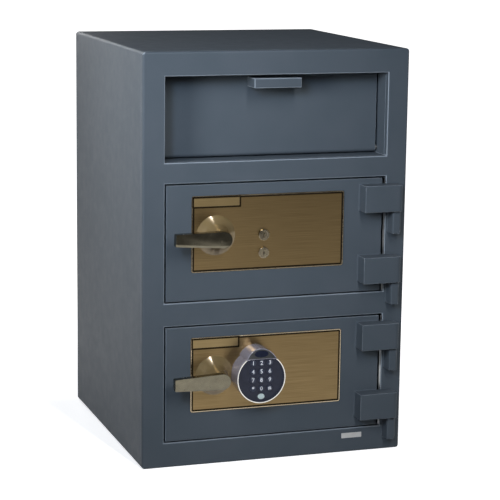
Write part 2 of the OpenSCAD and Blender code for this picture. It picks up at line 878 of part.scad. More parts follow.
// Bar on the hinge side that stays behind the frame
module dead_bar(low) {
  z = mid_z(low);
  half = door_half_h - dead_bar_margin;
  x1 = door_x1 - dead_bar_inset;
  back = door_t + dead_bar_d;
  color(dark_steel) from_front() {
    block([x1 - dead_bar_w, door_t, z - half], [x1, back, z + half]);
    block([x1 - 1, door_t + dead_bar_gap, z - half], [open_half + dead_bar_lap, back, z + half]);
  }
}

// A lock case with the channel that its bolt slides in
module lock_case(x, z, w, h) {
  channel = lock_throw + lock_bolt_l;
  side = lock_bolt_w / 2 + run_clear;
  thick = lock_bolt_t / 2 + run_clear;
  top = z + h / 2;
  difference() {
    block([x - w / 2, door_t, z - h / 2], [x + w / 2, door_t + case_t, z + h / 2]);
    block([x - side, lock_bolt_y - thick, top - channel], [x + side, lock_bolt_y + thick, top + cut]);
  }
}

module lock_bolt(x, top) {
  high = top + arm_gap - lock_tip_gap;
  color("goldenrod") from_front() block(
    [x - lock_bolt_w / 2, lock_bolt_y - lock_bolt_t / 2, high - lock_bolt_l],
    [x + lock_bolt_w / 2, lock_bolt_y + lock_bolt_t / 2, high]
  );
}

module key_lock_case() {
  z = mid_z(upper_low);
  color(bare_steel) from_front() difference() {
    lock_case(key_lock_x, z + key_case_rise, key_case_w, key_case_h);
    for (rise = nose_levels)
      rod_y(plug_r + run_clear, key_lock_x, z + rise, door_t - cut, door_t + plug_in + cut);
  }
}

module code_lock_case() {
  color(bare_steel) from_front() lock_case(pad_x, mid_z(lower_low) + pad_rise, code_case_w, code_case_h);
}

// Rimmed sleeves that hold the key plugs
module key_noses() {
  color(brass_tone) from_front() for (rise = nose_levels) difference() {
    union() {
      rod_y(nose_r, key_lock_x, mid_z(upper_low) + rise, -nose_out, -plate_t);
      rod_y(sleeve_r, key_lock_x, mid_z(upper_low) + rise, -nose_out, door_t);
    }
    rod_y(plug_r + run_clear, key_lock_x, mid_z(upper_low) + rise, -nose_out - cut, door_t + cut);
  }
}

// A key plug with its keyway
module key_plug(rise) {
  z = mid_z(upper_low) + rise;
  x0 = key_lock_x - keyway_w / 2;
  y0 = -plug_out - cut;
  color(brass_tone) from_front() difference() {
    rod_y(plug_r, key_lock_x, z, -plug_out, door_t + plug_in);
    block([x0, y0, z - keyway_h / 2], [x0 + keyway_w, keyway_depth, z + keyway_h / 2]);
    block([x0, y0, z - keyway_step_h / 2], [key_lock_x + keyway_step_w, keyway_depth, z + keyway_step_h / 2]);
  }
}

// Keypad

module at_pad() {
  from_front() translate([pad_x, 0, mid_z(lower_low) + pad_rise]) children();
}

// A round case with a rolled rim and a pocket for the keys
module keypad_case() {
  lip = rim_round;
  wrist = pad_r - 2;
  translate([0, -plate_t, 0]) rotate([90, 0, 0]) rotate_extrude() difference() {
    union() {
      square([wrist, pad_out - plate_t - lip]);
      translate([0, pad_out - plate_t - 2 * lip]) square([pad_r - lip, 2 * lip]);
      translate([pad_r - lip, pad_out - plate_t - lip]) circle(r = lip);
    }
    translate([0, pocket_out - plate_t]) square([face_r, pad_out]);
  }
}

// The case with a visor over the keys. Its crown stands above the rim, and its front leans back.
module keypad_housing() {
  front = pad_out + visor_proud;
  color(chrome) at_pad() difference() {
    union() {
      keypad_case();
      along_y(-front, -plate_t) intersection() {
        translate([0, crown_top - crown_r]) circle(r = crown_r);
        translate([-pad_r, visor_z]) square([2 * pad_r, pad_r]);
      }
    }
    translate([0, -front, visor_z]) rotate([-crown_lean, 0, 0])
      translate([-pad_r, -pad_out, 0]) cube([2 * pad_r, pad_out, 2 * pad_r]);
  }
}

module keypad_face() {
  color("midnightblue") at_pad() along_y(-face_out, -face_out + face_t) difference() {
    circle(r = face_r - seat);
    translate([-face_r, visor_z - visor_gap]) square([2 * face_r, face_r]);
    for (key = KEYS) translate([key[0], key[1]] * key_pitch + [0, key_rise]) circle(r = key_r + key_hole_gap);
  }
}

module pad_key(index) {
  key = KEYS[index];
  x = key[0] * key_pitch;
  z = key[1] * key_pitch + key_rise;
  back = -face_out + face_t + key_flange_gap;
  color("lightslategray") at_pad() {
    rod_y(key_r, x, z, -face_out - key_proud, back);
    rod_y(key_r + key_flange_w, x, z, back, back + key_flange_t);
  }
}

body_shell();
back_panel();
front_frame();
drawer_surround();
drawer_brackets();
drawer_stops();
deposit_shelf();
deposit_baffle();
compartment_divider();
jamb_stops();
hinge_knuckles();
hinge_pins();

drawer_front();
drawer_pull();
drawer_floor();
drawer_cheeks();
drawer_pivot_pins();

upper_door();
hinge_blocks(upper_low);  // upper_hinge_blocks
upper_escutcheon();
handle_boss(handle_x, upper_low);  // upper_handle_boss
key_noses();
key_lock_case();
bolt_guides(upper_low, key_lock_x, key_case_top);  // upper_bolt_guides
dead_bar(upper_low);  // upper_dead_bar
lever(handle_x, upper_low, upper_lever_tilt);  // upper_lever
spindle(handle_x, upper_low);  // upper_spindle
cam(handle_x, upper_low);  // upper_cam
bolt_bar(handle_x, upper_low, key_lock_x, key_case_top) key_notches();  // upper_bolt_bar
bolts(upper_low);  // upper_bolts
key_plug(nose_levels[0]);  // guard_plug
key_plug(nose_levels[1]);  // renter_plug
lock_bolt(key_lock_x, mid_z(upper_low) + key_case_top);  // key_lock_bolt

lower_door();
hinge_blocks(lower_low);  // lower_hinge_blocks
lower_escutcheon();
handle_boss(handle_x, lower_low);  // lower_handle_boss
keypad_housing();
keypad_face();
code_lock_case();
bolt_guides(lower_low, pad_x, code_case_top);  // lower_bolt_guides
dead_bar(lower_low);  // lower_dead_bar
lever(handle_x, lower_low, lower_lever_tilt);  // lower_lever
spindle(handle_x, lower_low);  // lower_spindle
cam(handle_x, lower_low);  // lower_cam
bolt_bar(handle_x, lower_low, pad_x, code_case_top) code_notch();  // lower_bolt_bar
bolts(lower_low);  // lower_bolts
lock_bolt(pad_x, mid_z(lower_low) + code_case_top);  // code_lock_bolt

pad_key(0);  // key_1
pad_key(1);  // key_2
pad_key(2);  // key_3
pad_key(3);  // key_4
pad_key(4);  // key_5
pad_key(5);  // key_6
pad_key(6);  // key_7
pad_key(7);  // key_8
pad_key(8);  // key_9
pad_key(9);  // key_star
pad_key(10);  // key_0
pad_key(11);  // key_hash
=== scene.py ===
"""Looks of a floor-standing deposit safe with a tilt-out drawer over two locked compartments.

Lengths in class fields are millimetres in the part's own frame: X points right, the front faces
minus Y, and Z points up from the floor. A thin piece's height counts forwards from the face under it.
Angles in class fields are degrees.
"""

from __future__ import annotations

import json
import logging
import math
from collections.abc import Callable, Iterable
from dataclasses import dataclass
from enum import Enum

import bmesh
import bpy
from mathutils import Matrix, Vector


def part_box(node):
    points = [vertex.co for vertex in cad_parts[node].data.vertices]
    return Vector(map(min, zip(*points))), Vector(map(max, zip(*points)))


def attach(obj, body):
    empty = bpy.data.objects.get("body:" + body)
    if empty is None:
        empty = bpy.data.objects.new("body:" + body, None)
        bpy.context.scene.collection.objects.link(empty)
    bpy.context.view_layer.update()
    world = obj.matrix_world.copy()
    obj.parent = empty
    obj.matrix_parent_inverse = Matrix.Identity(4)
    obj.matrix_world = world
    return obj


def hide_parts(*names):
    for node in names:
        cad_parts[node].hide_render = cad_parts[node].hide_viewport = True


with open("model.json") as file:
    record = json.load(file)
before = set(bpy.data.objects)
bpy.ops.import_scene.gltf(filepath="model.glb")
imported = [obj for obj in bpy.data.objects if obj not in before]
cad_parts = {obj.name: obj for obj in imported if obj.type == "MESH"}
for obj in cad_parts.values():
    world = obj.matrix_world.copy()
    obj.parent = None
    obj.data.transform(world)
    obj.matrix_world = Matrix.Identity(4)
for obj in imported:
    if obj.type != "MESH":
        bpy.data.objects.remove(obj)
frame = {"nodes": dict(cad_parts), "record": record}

# Short names for the types that come again and again
Pair = tuple[float, float]
Triple = tuple[float, float, float]
Tree = bpy.types.NodeTree
Socket = bpy.types.NodeSocket

LOG = logging.getLogger("deposit_safe")
MM = 0.001
# The name of the layer that marks the rounded edges of a mesh, where the enamel paints a highlight
EDGE_LAYER = "rounded_edge"
# Nearly all values of a noise texture lie between these two
NOISE_SPAN: Pair = (0.3, 0.7)
BODY_OF = {
    node: body
    for body, nodes in frame["record"]["behaviour"]["bodies"].items()
    for node in nodes
}


class Storey(Enum):
    """The two doors of the safe."""

    UPPER = "upper"
    LOWER = "lower"


# Colours and nodes


def linear(hex_colour: str) -> tuple[float, float, float, float]:
    """Turns an sRGB hex colour into linear light.

    Args:
        hex_colour: a colour such as "#4f5b68".

    Returns:
        Red, green, blue and an alpha of one.
    """
    parts = [int(hex_colour[i:i + 2], 16) / 255 for i in (1, 3, 5)]
    red, green, blue = (c / 12.92 if c <= 0.04045 else ((c + 0.055) / 1.055) ** 2.4 for c in parts)
    return red, green, blue, 1.0


def add_node(
    tree: Tree,
    kind: str,
    settings: dict[str | int, object] | None = None,
    links: dict[str | int, Socket] | None = None,
) -> bpy.types.Node:
    """Adds a node with its settings and links.

    Args:
        tree: the node tree that gets the node.
        kind: the node's type name.
        settings: values by the name of a property, or else by the name or number of an input.
        links: output sockets by the name or number of the input that they feed.

    Returns:
        The new node.
    """
    node = tree.nodes.new(kind)
    for key, value in (settings or {}).items():
        if hasattr(node, str(key)):
            setattr(node, key, value)
        else:
            socket_named(node, key).default_value = value
    for key, source in (links or {}).items():
        tree.links.new(source, socket_named(node, key))
    return node


def socket_named(node: bpy.types.Node, key: str | int) -> Socket:
    """Finds an input of a node.

    Args:
        node: the node.
        key: the input's name, or its number.

    Returns:
        The input, the first one in use where several share a name.
    """
    if isinstance(key, int):
        return node.inputs[key]
    return next(socket for socket in node.inputs if socket.name == key and socket.enabled)


def empty_tree(owner: bpy.types.Material | bpy.types.World) -> Tree:
    """Gives a material or a world a node tree with nothing in it.

    Args:
        owner: the material or the world.

    Returns:
        Its node tree.
    """
    owner.use_nodes = True
    owner.node_tree.nodes.clear()
    return owner.node_tree


def grain(tree: Tree, size: Triple, detail: float = 2.0, seed: float = 0.0) -> Socket:
    """Makes a soft random pattern on Object coordinates.

    Args:
        tree: the node tree.
        size: the pattern's grain along X, Y and Z, in millimetres.
        detail: how many finer layers it has.
        seed: moves the pattern, so that two of them differ.

    Returns:
        The pattern's value, around one half.
    """
    place = add_node(tree, "ShaderNodeTexCoord")
    scale = tuple(1 / (length * MM) for length in size)
    mapping = add_node(
        tree,
        "ShaderNodeMapping",
        {"Scale": scale, "Location": (seed, seed, seed)},
        {"Vector": place.outputs["Object"]},
    )
    noise = add_node(
        tree, "ShaderNodeTexNoise", {"Scale": 1.0, "Detail": detail}, {"Vector": mapping.outputs["Vector"]}
    )
    return noise.outputs["Fac"]


def spread(tree: Tree, value: Socket, low: float, high: float) -> Socket:
    """Stretches a pattern between two values.

    Args:
        tree: the node tree.
        value: the pattern.
        low: the result where the pattern is low.
        high: the result where it is high.

    Returns:
        The stretched value.
    """
    node = add_node(
        tree,
        "ShaderNodeMapRange",
        {"From Min": NOISE_SPAN[0], "From Max": NOISE_SPAN[1], "To Min": low, "To Max": high},
        {"Value": value},
    )
    return node.outputs["Result"]


def blend_colours(tree: Tree, share: Socket, first: str | Socket, second: str) -> Socket:
    """Mixes two colours by a pattern.

    Args:
        tree: the node tree.
        share: how much of the second colour shows.
        first: the first colour, as hex digits or as another node's output.
        second: the second colour, as hex digits.

    Returns:
        The mixed colour.
    """
    node = add_node(tree, "ShaderNodeMix", {"data_type": "RGBA", "B": linear(second)}, {"Factor": share})
    if isinstance(first, str):
        socket_named(node, "A").default_value = linear(first)
    else:
        tree.links.new(first, socket_named(node, "A"))
    return node.outputs[2]


def relief(tree: Tree, shader: bpy.types.Node, height: Socket, depth: float) -> None:
    """Gives a shader a bump.

    Args:
        tree: the node tree.
        shader: the surface shader.
        height: the height pattern.
        depth: its depth in millimetres.
    """
    bump = add_node(tree, "ShaderNodeBump", {"Distance": depth * MM}, {"Height": height})
    tree.links.new(bump.outputs["Normal"], shader.inputs["Normal"])


# Finishes


@dataclass(frozen=True)
class Finish:
    """A named surface. It makes its material once and hands it out again."""

    name: str
    slot: str

    def material(self) -> bpy.types.Material:
        """Makes the material, or finds the one made before.

        Returns:
            The material.
        """
        made = bpy.data.materials.get(self.name)
        if made is not None:
            return made
        made = bpy.data.materials.new(self.name)
        tree = empty_tree(made)
        shader = add_node(tree, "ShaderNodeBsdfPrincipled")
        add_node(tree, "ShaderNodeOutputMaterial", links={"Surface": shader.outputs["BSDF"]})
        self.dress(tree, shader)
        return made

    def dress(self, tree: Tree, shader: bpy.types.Node) -> None:
        """Sets the shader. Each finish has its own way.

        Args:
            tree: the material's node tree.
            shader: its surface shader.
        """
        raise NotImplementedError


@dataclass(frozen=True)
class SprayedEnamel(Finish):
    """Baked enamel sprayed on steel plate: an even semi-gloss coat with a faint orange peel.

    The eye sees one slate blue that goes slightly cloudy over a hand's width, with soft wide highlights.
    Rounded edges are painted paler: a painted highlight along every edge.
    """

    colour: str = "#4b5259"
    cloud: str = "#474f56"
    peel: float = 2.2
    peel_depth: float = 0.012
    clouds: float = 70.0
    roughness: Pair = (0.5, 0.56)
    specular: float = 0.16
    # The paler colour painted on rounded edges: a painted highlight
    edge: str = "#7e868e"

    def dress(self, tree: Tree, shader: bpy.types.Node) -> None:
        """Sets cloudy colour, a painted highlight on rounded edges, uneven gloss and orange peel.

        Args:
            tree: the material's node tree.
            shader: its surface shader.
        """
        share = spread(tree, grain(tree, (self.clouds,) * 3, detail=3.0), 0.0, 1.0)
        coat = blend_colours(tree, share, self.colour, self.cloud)
        # Painted highlight: the marked rounded faces take the paler edge colour
        edges = add_node(tree, "ShaderNodeAttribute", {"attribute_name": EDGE_LAYER}).outputs["Fac"]
        tree.links.new(blend_colours(tree, edges, coat, self.edge), shader.inputs["Base Color"])
        gloss = spread(tree, grain(tree, (self.clouds / 4,) * 3, seed=5.0), *self.roughness)
        tree.links.new(gloss, shader.inputs["Roughness"])
        shader.inputs["Specular IOR Level"].default_value = self.specular
        relief(tree, shader, grain(tree, (self.peel,) * 3, detail=1.0), self.peel_depth)


@dataclass(frozen=True)
class BrushedPlate(Finish):
    """Bronze-toned plate brushed along its length.

    The eye sees fine level lines of a lighter and a darker bronze, and each light stretched upright.
    The real lines are a tenth of a millimetre apart, too fine to show, so they are drawn coarser.
    """

    colour: str = "#917c58"
    dark: str = "#7a6645"
    line: float = 0.7
    line_length: float = 90.0
    line_depth: float = 0.003
    roughness: Pair = (0.3, 0.38)
    anisotropy: float = 0.88

    def dress(self, tree: Tree, shader: bpy.types.Node) -> None:
        """Sets the brushed lines and the upright stretch of highlights.

        Args:
            tree: the material's node tree.
            shader: its surface shader.
        """
        lines = grain(tree, (self.line_length, self.line, self.line), detail=3.0)
        share = spread(tree, lines, 0.0, 1.0)
        tree.links.new(blend_colours(tree, share, self.colour, self.dark), shader.inputs["Base Color"])
        tree.links.new(spread(tree, lines, *self.roughness), shader.inputs["Roughness"])
        shader.inputs["Metallic"].default_value = 1.0
        shader.inputs["Anisotropic"].default_value = self.anisotropy
        across = add_node(
            tree,
            "ShaderNodeVectorTransform",
            {"vector_type": "VECTOR", "convert_from": "OBJECT", "convert_to": "WORLD", "Vector": (0, 0, 1)},
        )
        tree.links.new(across.outputs["Vector"], shader.inputs["Tangent"])
        relief(tree, shader, lines, self.line_depth)


@dataclass(frozen=True)
class Metal(Finish):
    """A bare or plated metal, from mirror plating to ground steel, with a fine grain and smudges."""

    colour: str
    dark: str
    grain_size: Triple
    grain_depth: float
    roughness: Pair
    metallic: float = 1.0
    smudge: float = 14.0

    def dress(self, tree: Tree, shader: bpy.types.Node) -> None:
        """Sets the metal's tone, its grain and its uneven polish.

        Args:
            tree: the material's node tree.
            shader: its surface shader.
        """
        pattern = grain(tree, self.grain_size)
        share = spread(tree, pattern, 0.0, 1.0)
        tree.links.new(blend_colours(tree, share, self.colour, self.dark), shader.inputs["Base Color"])
        smudges = grain(tree, (self.smudge,) * 3, detail=3.0, seed=3.0)
        tree.links.new(spread(tree, smudges, *self.roughness), shader.inputs["Roughness"])
        shader.inputs["Metallic"].default_value = self.metallic
        if self.grain_depth:
            relief(tree, shader, pattern, self.grain_depth)


@dataclass(frozen=True, kw_only=True)
class TurnedMetal(Metal):
    """Metal turned on a lathe, under bronze lacquer in the plate's tone.

    Rings too fine to show stretch each light outwards from the axis, so the eye sees a white upright
    flame and hardly any outline.
    """

    tip: Triple
    anisotropy: float = 0.88
    specular: float = 1.0

    def dress(self, tree: Tree, shader: bpy.types.Node) -> None:
        """Sets the metal and stretches its highlights away from the axis.

        Args:
            tree: the material's node tree.
            shader: its surface shader.
        """
        super().dress(tree, shader)
        place = add_node(tree, "ShaderNodeTexCoord").outputs["Object"]
        tip = tuple(value * MM for value in self.tip)
        outwards = add_node(tree, "ShaderNodeVectorMath", {"operation": "SUBTRACT", 1: tip}, {0: place})
        turned = add_node(
            tree,
            "ShaderNodeVectorTransform",
            {"vector_type": "VECTOR", "convert_from": "OBJECT", "convert_to": "WORLD"},
            {"Vector": outwards.outputs["Vector"]},
        )
        tree.links.new(turned.outputs["Vector"], shader.inputs["Tangent"])
        shader.inputs["Anisotropic"].default_value = self.anisotropy
        shader.inputs["Specular IOR Level"].default_value = self.specular


@dataclass(frozen=True)
class Moulding(Finish):
    """Moulded plastic, rubber, printed ink or vinyl: one colour with a fine moulded skin."""

    colour: str
    cloud: str
    skin: float
    skin_depth: float
    roughness: Pair
    coat: float = 0.0
    specular: float = 0.5
    mottle: float = 12.0

    def dress(self, tree: Tree, shader: bpy.types.Node) -> None:
        """Sets the colour, the skin and the gloss.

        Args:
            tree: the material's node tree.
            shader: its surface shader.
        """
        pattern = grain(tree, (self.mottle,) * 3)
        share = spread(tree, pattern, 0.0, 1.0)
        tree.links.new(blend_colours(tree, share, self.colour, self.cloud), shader.inputs["Base Color"])
        tree.links.new(spread(tree, pattern, *self.roughness), shader.inputs["Roughness"])
        shader.inputs["Coat Weight"].default_value = self.coat
        shader.inputs["Specular IOR Level"].default_value = self.specular
        relief(tree, shader, grain(tree, (self.skin,) * 3, detail=1.0), self.skin_depth)


ENAMEL = SprayedEnamel("sprayed_enamel_slate", "paint")
# Dark powder coat on the sheets inside: matt and slightly rough, so it swallows light
POWDER = SprayedEnamel(
    "powder_coat_graphite", "inner_steel", "#3c4146", "#373c41", 1.2, 0.05, 40.0, (0.55, 0.68), 0.35,
    # Its rounded edges are painted a little paler: a painted highlight
    edge="#43484d",
)
BRONZE = BrushedPlate("brushed_bronze_plate", "brushed_brass")
# The same plate's polished edge flange, painted paler: a painted highlight along the plate's edge
BRONZE_FLANGE_HIGHLIGHT = BrushedPlate(
    "bronze_flange_painted_highlight", "brushed_brass", "#b9ab92", "#a99b82", 1.4, 60.0, 0.002, (0.2, 0.3), 0.5
)
# The groove inside the flange is painted dark brown: painted shade, shown as a thin brown line
GROOVE = BrushedPlate(
    "dark_groove_bronze", "brushed_brass", "#2e271c", "#261f16", 0.7, 60.0, 0.002, (0.5, 0.6), 0.2
)
# The badge place is cut from the same stock and lacquered a shade paler
BADGE = BrushedPlate(
    "brushed_badge_bronze", "brushed_brass", "#98855f", "#8e7b57", 0.9, 60.0, 0.002, (0.34, 0.4), 0.8
)
# Nickel-chrome plating on die-cast zinc: a grey mirror that shows the room, slightly smudged
PLATING = Metal("chrome_plating_on_zinc", "chrome", "#cfcdc8", "#c2c0bb", (6.0, 6.0, 6.0), 0.0, (0.08, 0.16))
# Silver lacquer on the keypad's case: fine flakes under a clear coat, pale violet-grey from all sides
SILVER_LACQUER = Metal(
    "silver_lacquer_on_zinc", "chrome", "#c4c1cf", "#b7b4c2", (4.0, 4.0, 4.0), 0.0, (0.16, 0.22), 0.58
)
# The levers are handled, so their plating is duller and shows the room less sharply
HANDLED_PLATING = Metal(
    "handled_satin_nickel", "chrome", "#6f6a5b", "#676254", (12.0, 12.0, 12.0), 0.0, (0.22, 0.28)
)
# Turned brass with worn nickel plate: pale straw, with ring marks too fine to show
BRASS = Metal(
    "worn_nickel_on_brass", "lock_brass", "#bdb199", "#aca087", (1.2, 1.2, 1.2), 0.001, (0.2, 0.3)
)
# Ground and lightly oiled steel: grey, with short grinding marks
STEEL = Metal("ground_steel", "bare_steel", "#a3a5a6", "#8e9193", (12.0, 1.0, 1.0), 0.004, (0.28, 0.42))
# Natural black rubber: matt, slightly grey where light grazes it
RUBBER = Moulding("black_rubber", "rubber", "#1b1b1c", "#222223", 0.8, 0.02, (0.7, 0.85), 0.0, 0.3)
# ABS from a polished mould: smooth dark navy that mirrors the floor only faintly
GLOSS_ABS = Moulding(
    "smooth_abs_navy", "keypad_face", "#1e2334", "#191d2c", 3.0, 0.004, (0.16, 0.22), 0.0, 0.22
)
# Black glass-filled nylon on the visor's front: dark grey and satin
VISOR = Moulding("glass_filled_nylon", "keypad_face", "#1f2224", "#1a1c1e", 1.5, 0.006, (0.3, 0.42))
# The same ABS with a satin skin on the key caps, so that they show against the face
SATIN_ABS = Moulding(
    "satin_abs_key", "keypad_key", "#2a3042", "#252b3b", 1.0, 0.004, (0.3, 0.4), 0.0, 0.3
)
# Pad-printed ink: flat white, slightly uneven
INK = Moulding("pad_printed_white_ink", "keypad_key", "#e6e8ec", "#d8dade", 0.5, 0.002, (0.5, 0.6))
# Clear polycarbonate over a pale diffuser: a milky green-grey window
LENS = Moulding("frosted_polycarbonate", "keypad_key", "#b9c9c8", "#a9bab8", 2.0, 0.002, (0.15, 0.22), 0.5)
# Blank vinyl: flat pale grey with a satin face
VINYL = Moulding("blank_vinyl", "paint", "#cac8c4", "#c1bfbb", 1.5, 0.003, (0.45, 0.55))


# Meshes


def cad_solid(node: str, gap: float = 0.002, flat: float = 0.6) -> bmesh.types.BMesh:
    """Copies a CAD node's mesh and merges its loose triangles into clean faces.

    Args:
        node: the node's name.
        gap: how far apart corners may be to become one, in millimetres.
        flat: the largest fold in degrees that goes away.

    Returns:
        The merged copy.
    """
    mesh = bmesh.new()
    mesh.from_mesh(frame["nodes"][node].data)
    bmesh.ops.remove_doubles(mesh, verts=mesh.verts, dist=gap * MM)
    bmesh.ops.dissolve_limit(mesh, angle_limit=math.radians(flat), verts=mesh.verts, edges=mesh.edges)
    return mesh


def soften(mesh: bmesh.types.BMesh, width: float, segments: int = 2, least: float = 28.0) -> None:
    """Rounds the sharp edges of a mesh, so that each one catches light, and marks the rounded faces.

    Args:
        mesh: the mesh.
        width: the rounding's width in millimetres.
        segments: how many faces go round it.
        least: the smallest fold in degrees that counts as an edge.
    """
    fold = math.radians(least)
    layer = mesh.faces.layers.float.get(EDGE_LAYER) or mesh.faces.layers.float.new(EDGE_LAYER)
    edges = [edge for edge in mesh.edges if edge.is_manifold and edge.calc_face_angle(0.0) > fold]
    rounded = bmesh.ops.bevel(
        mesh,
        geom=edges,
        offset=width * MM,
        offset_type="OFFSET",
        affect="EDGES",
        segments=segments,
        profile=0.5,
        material=-1,
        clamp_overlap=True,
    )
    for face in rounded["faces"]:
        face[layer] = 1.0


def slab(low: Triple, high: Triple) -> bmesh.types.BMesh:
    """Makes a box between two corners.

    Args:
        low: the lowest corner in millimetres.
        high: the highest corner in millimetres.

    Returns:
        The box.
    """
    mesh = bmesh.new()
    size = Vector(high) - Vector(low)
    middle = (Vector(high) + Vector(low)) / 2
    place = Matrix.Translation(middle * MM) @ Matrix.Diagonal((*(size * MM), 1))
    bmesh.ops.create_cube(mesh, size=1.0, matrix=place)
    return mesh


def upright_at(x: float, y: float, z: float) -> Matrix:
    """Gives the matrix that stands a flat piece up to look forwards, at a place in millimetres."""
    return Matrix.Translation(Vector((x, y, z)) * MM) @ Matrix.Rotation(math.pi / 2, 4, "X")


def round_plate(centre: Pair, size: Pair, corner: float, segments: int) -> bmesh.types.BMesh:
    """Makes a flat rectangle with round corners that looks forwards.

    Args:
        centre: its centre's X and Z in millimetres.
        size: its width and height in millimetres.
        corner: its corner radius in millimetres.
        segments: faces round each corner.

    Returns:
        The flat face, in the plane of Y zero.
    """
    mesh = bmesh.new()
    bmesh.ops.create_grid(mesh, x_segments=1, y_segments=1, size=0.5)
    bmesh.ops.scale(mesh, vec=(size[0] * MM, size[1] * MM, 1.0), verts=mesh.verts)
    bmesh.ops.bevel(
        mesh,
        geom=list(mesh.verts),
        offset=corner * MM,
        offset_type="OFFSET",
        affect="VERTICES",
        segments=segments,
        profile=0.5,
        material=-1,
    )
    bmesh.ops.transform(mesh, matrix=upright_at(centre[0], 0, centre[1]), verts=mesh.verts)
    return mesh


def open_middle(mesh: bmesh.types.BMesh) -> None:
    """Takes away the face with the most corners, which an inset has left in the middle of a flat piece."""
    inner = max(mesh.faces, key=lambda face: len(face.verts))
    bmesh.ops.delete(mesh, geom=[inner], context="FACES_ONLY")


def thicken(mesh: bmesh.types.BMesh, back: float, front: float) -> None:
    """Turns a flat face in the plane of Y zero into a solid.

    Args:
        mesh: the flat mesh.
        back: the Y of its back in millimetres.
        front: the Y of its front in millimetres.
    """
    bmesh.ops.translate(mesh, vec=(0, back * MM, 0), verts=mesh.verts)
    grown = bmesh.ops.extrude_face_region(mesh, geom=list(mesh.faces), use_keep_orig=True)
    tops = [item for item in grown["geom"] if isinstance(item, bmesh.types.BMVert)]
    bmesh.ops.translate(mesh, vec=(0, (front - back) * MM, 0), verts=tops)
    bmesh.ops.recalc_face_normals(mesh, faces=mesh.faces)


def add_object(name: str, data: bpy.types.ID) -> bpy.types.Object:
    """Puts an object into the scene.

    Args:
        name: its name.
        data: its mesh, text, lamp or camera.

    Returns:
        The object.
    """
    added = bpy.data.objects.new(name, data)
    bpy.context.scene.collection.objects.link(added)
    return added


def finished(
    mesh: bmesh.types.BMesh,
    name: str,
    finish: Finish,
    body: str,
    replaced: Iterable[str] = (),
    fold: float = 40.0,
) -> bpy.types.Object:
    """Turns a mesh into a piece of the safe.

    Args:
        mesh: the mesh, with its place in it. It is freed.
        name: the piece's name.
        finish: its finish.
        body: the body that it rides on.
        replaced: the CAD nodes that it stands for.
        fold: the fold in degrees from which an edge is shaded sharp.

    Returns:
        The piece.
    """
    data = bpy.data.meshes.new(name)
    mesh.to_mesh(data)
    mesh.free()
    data.polygons.foreach_set("use_smooth", [True] * len(data.polygons))
    data.set_sharp_from_angle(angle=math.radians(fold))
    data.materials.append(finish.material())
    piece = add_object(name, data)
    weights = piece.modifiers.new("even_shading", "WEIGHTED_NORMAL")
    weights.keep_sharp = True
    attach(piece, body)
    nodes = list(replaced)
    if nodes:
        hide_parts(*nodes)
    LOG.info("%s: %d faces on %s", name, len(data.polygons), body)
    return piece


def refine(node: str, finish: Finish, width: float = 0.0, segments: int = 2) -> bpy.types.Object:
    """Gives a CAD node soft edges and its finish.

    Args:
        node: the node's name.
        finish: its finish.
        width: the width of its rounded edges in millimetres, or zero for none.
        segments: how many faces go round an edge.

    Returns:
        The piece that stands for the node.
    """
    mesh = cad_solid(node)
    if width:
        soften(mesh, width, segments)
    return finished(mesh, f"{node}_finished", finish, BODY_OF[node], [node])


def weld_skirt(low: Pair, high: Pair, seat: float, leg: float) -> bmesh.types.BMesh:
    """Makes the painted weld fillet round a block that stands forwards from a plate.

    Args:
        low: the block's lowest X and Z in millimetres.
        high: its highest X and Z in millimetres.
        seat: the Y of the plate's face in millimetres.
        leg: the fillet's height and width in millimetres.

    Returns:
        A low frustum whose sides are the fillet.
    """
    mesh = slab((low[0], seat - leg, low[1]), (high[0], seat, high[1]))
    feet = [vert for vert in mesh.verts if vert.co.y > (seat - leg / 2) * MM]
    middle_x = (low[0] + high[0]) / 2 * MM
    middle_z = (low[1] + high[1]) / 2 * MM
    for foot in feet:
        foot.co.x += math.copysign(leg * MM, foot.co.x - middle_x)
        foot.co.z += math.copysign(leg * MM, foot.co.z - middle_z)
    return mesh


def box_of(node: str) -> tuple[Vector, Vector]:
    """Gives a CAD node's lowest and highest corners in millimetres."""
    low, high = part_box(node)
    return low / MM, high / MM


def centre_of(node: str) -> Vector:
    """Gives the middle of a CAD node's box in millimetres."""
    low, high = box_of(node)
    return (low + high) / 2


def loose_parts(node: str) -> list[tuple[Vector, Vector]]:
    """Finds the boxes of the separate solids in a CAD node.

    Args:
        node: the node's name.

    Returns:
        The lowest and highest corner of each solid, in millimetres.
    """
    mesh = cad_solid(node)
    seen: set[bmesh.types.BMVert] = set()
    boxes = []
    for first in mesh.verts:
        if first in seen:
            continue
        seen.add(first)
        stack = [first]
        low, high = first.co.copy(), first.co.copy()
        while stack:
            vert = stack.pop()
            low = Vector(map(min, low, vert.co))
            high = Vector(map(max, high, vert.co))
            fresh = {edge.other_vert(vert) for edge in vert.link_edges} - seen
            seen |= fresh
            stack += fresh
        boxes.append((low / MM, high / MM))
    mesh.free()
    return boxes


# The safe's sub-assemblies


@dataclass(frozen=True)
class FastenerHead:
    """The head of a screw or a hollow rivet, with a sunken middle. Its form is in shares of its radius."""

    radius: float
    height: float = 0.55
    top: float = 0.72
    rim: float = 0.45
    sink: float = 0.2

    def at(self, places: Iterable[Triple]) -> bmesh.types.BMesh:
        """Makes heads that look to the rear.

        Args:
            places: the centre of each head's seat in millimetres.

        Returns:
            All the heads in one mesh.
        """
        mesh = bmesh.new()
        size = self.radius * MM
        for x, y, z in places:
            middle = Vector((x, y + self.height * self.radius / 2, z)) * MM
            made = bmesh.ops.create_cone(
                mesh,
                cap_ends=True,
                segments=20,
                radius1=size,
                radius2=self.top * size,
                depth=self.height * size,
                matrix=Matrix.Translation(middle) @ Matrix.Rotation(-math.pi / 2, 4, "X"),
            )
            caps = [face for face in {f for v in made["verts"] for f in v.link_faces} if len(face.verts) > 4]
            top = max(caps, key=lambda face: face.calc_center_median().y)
            bmesh.ops.inset_individual(mesh, faces=[top], thickness=self.rim * size, depth=-self.sink * size)
        return mesh


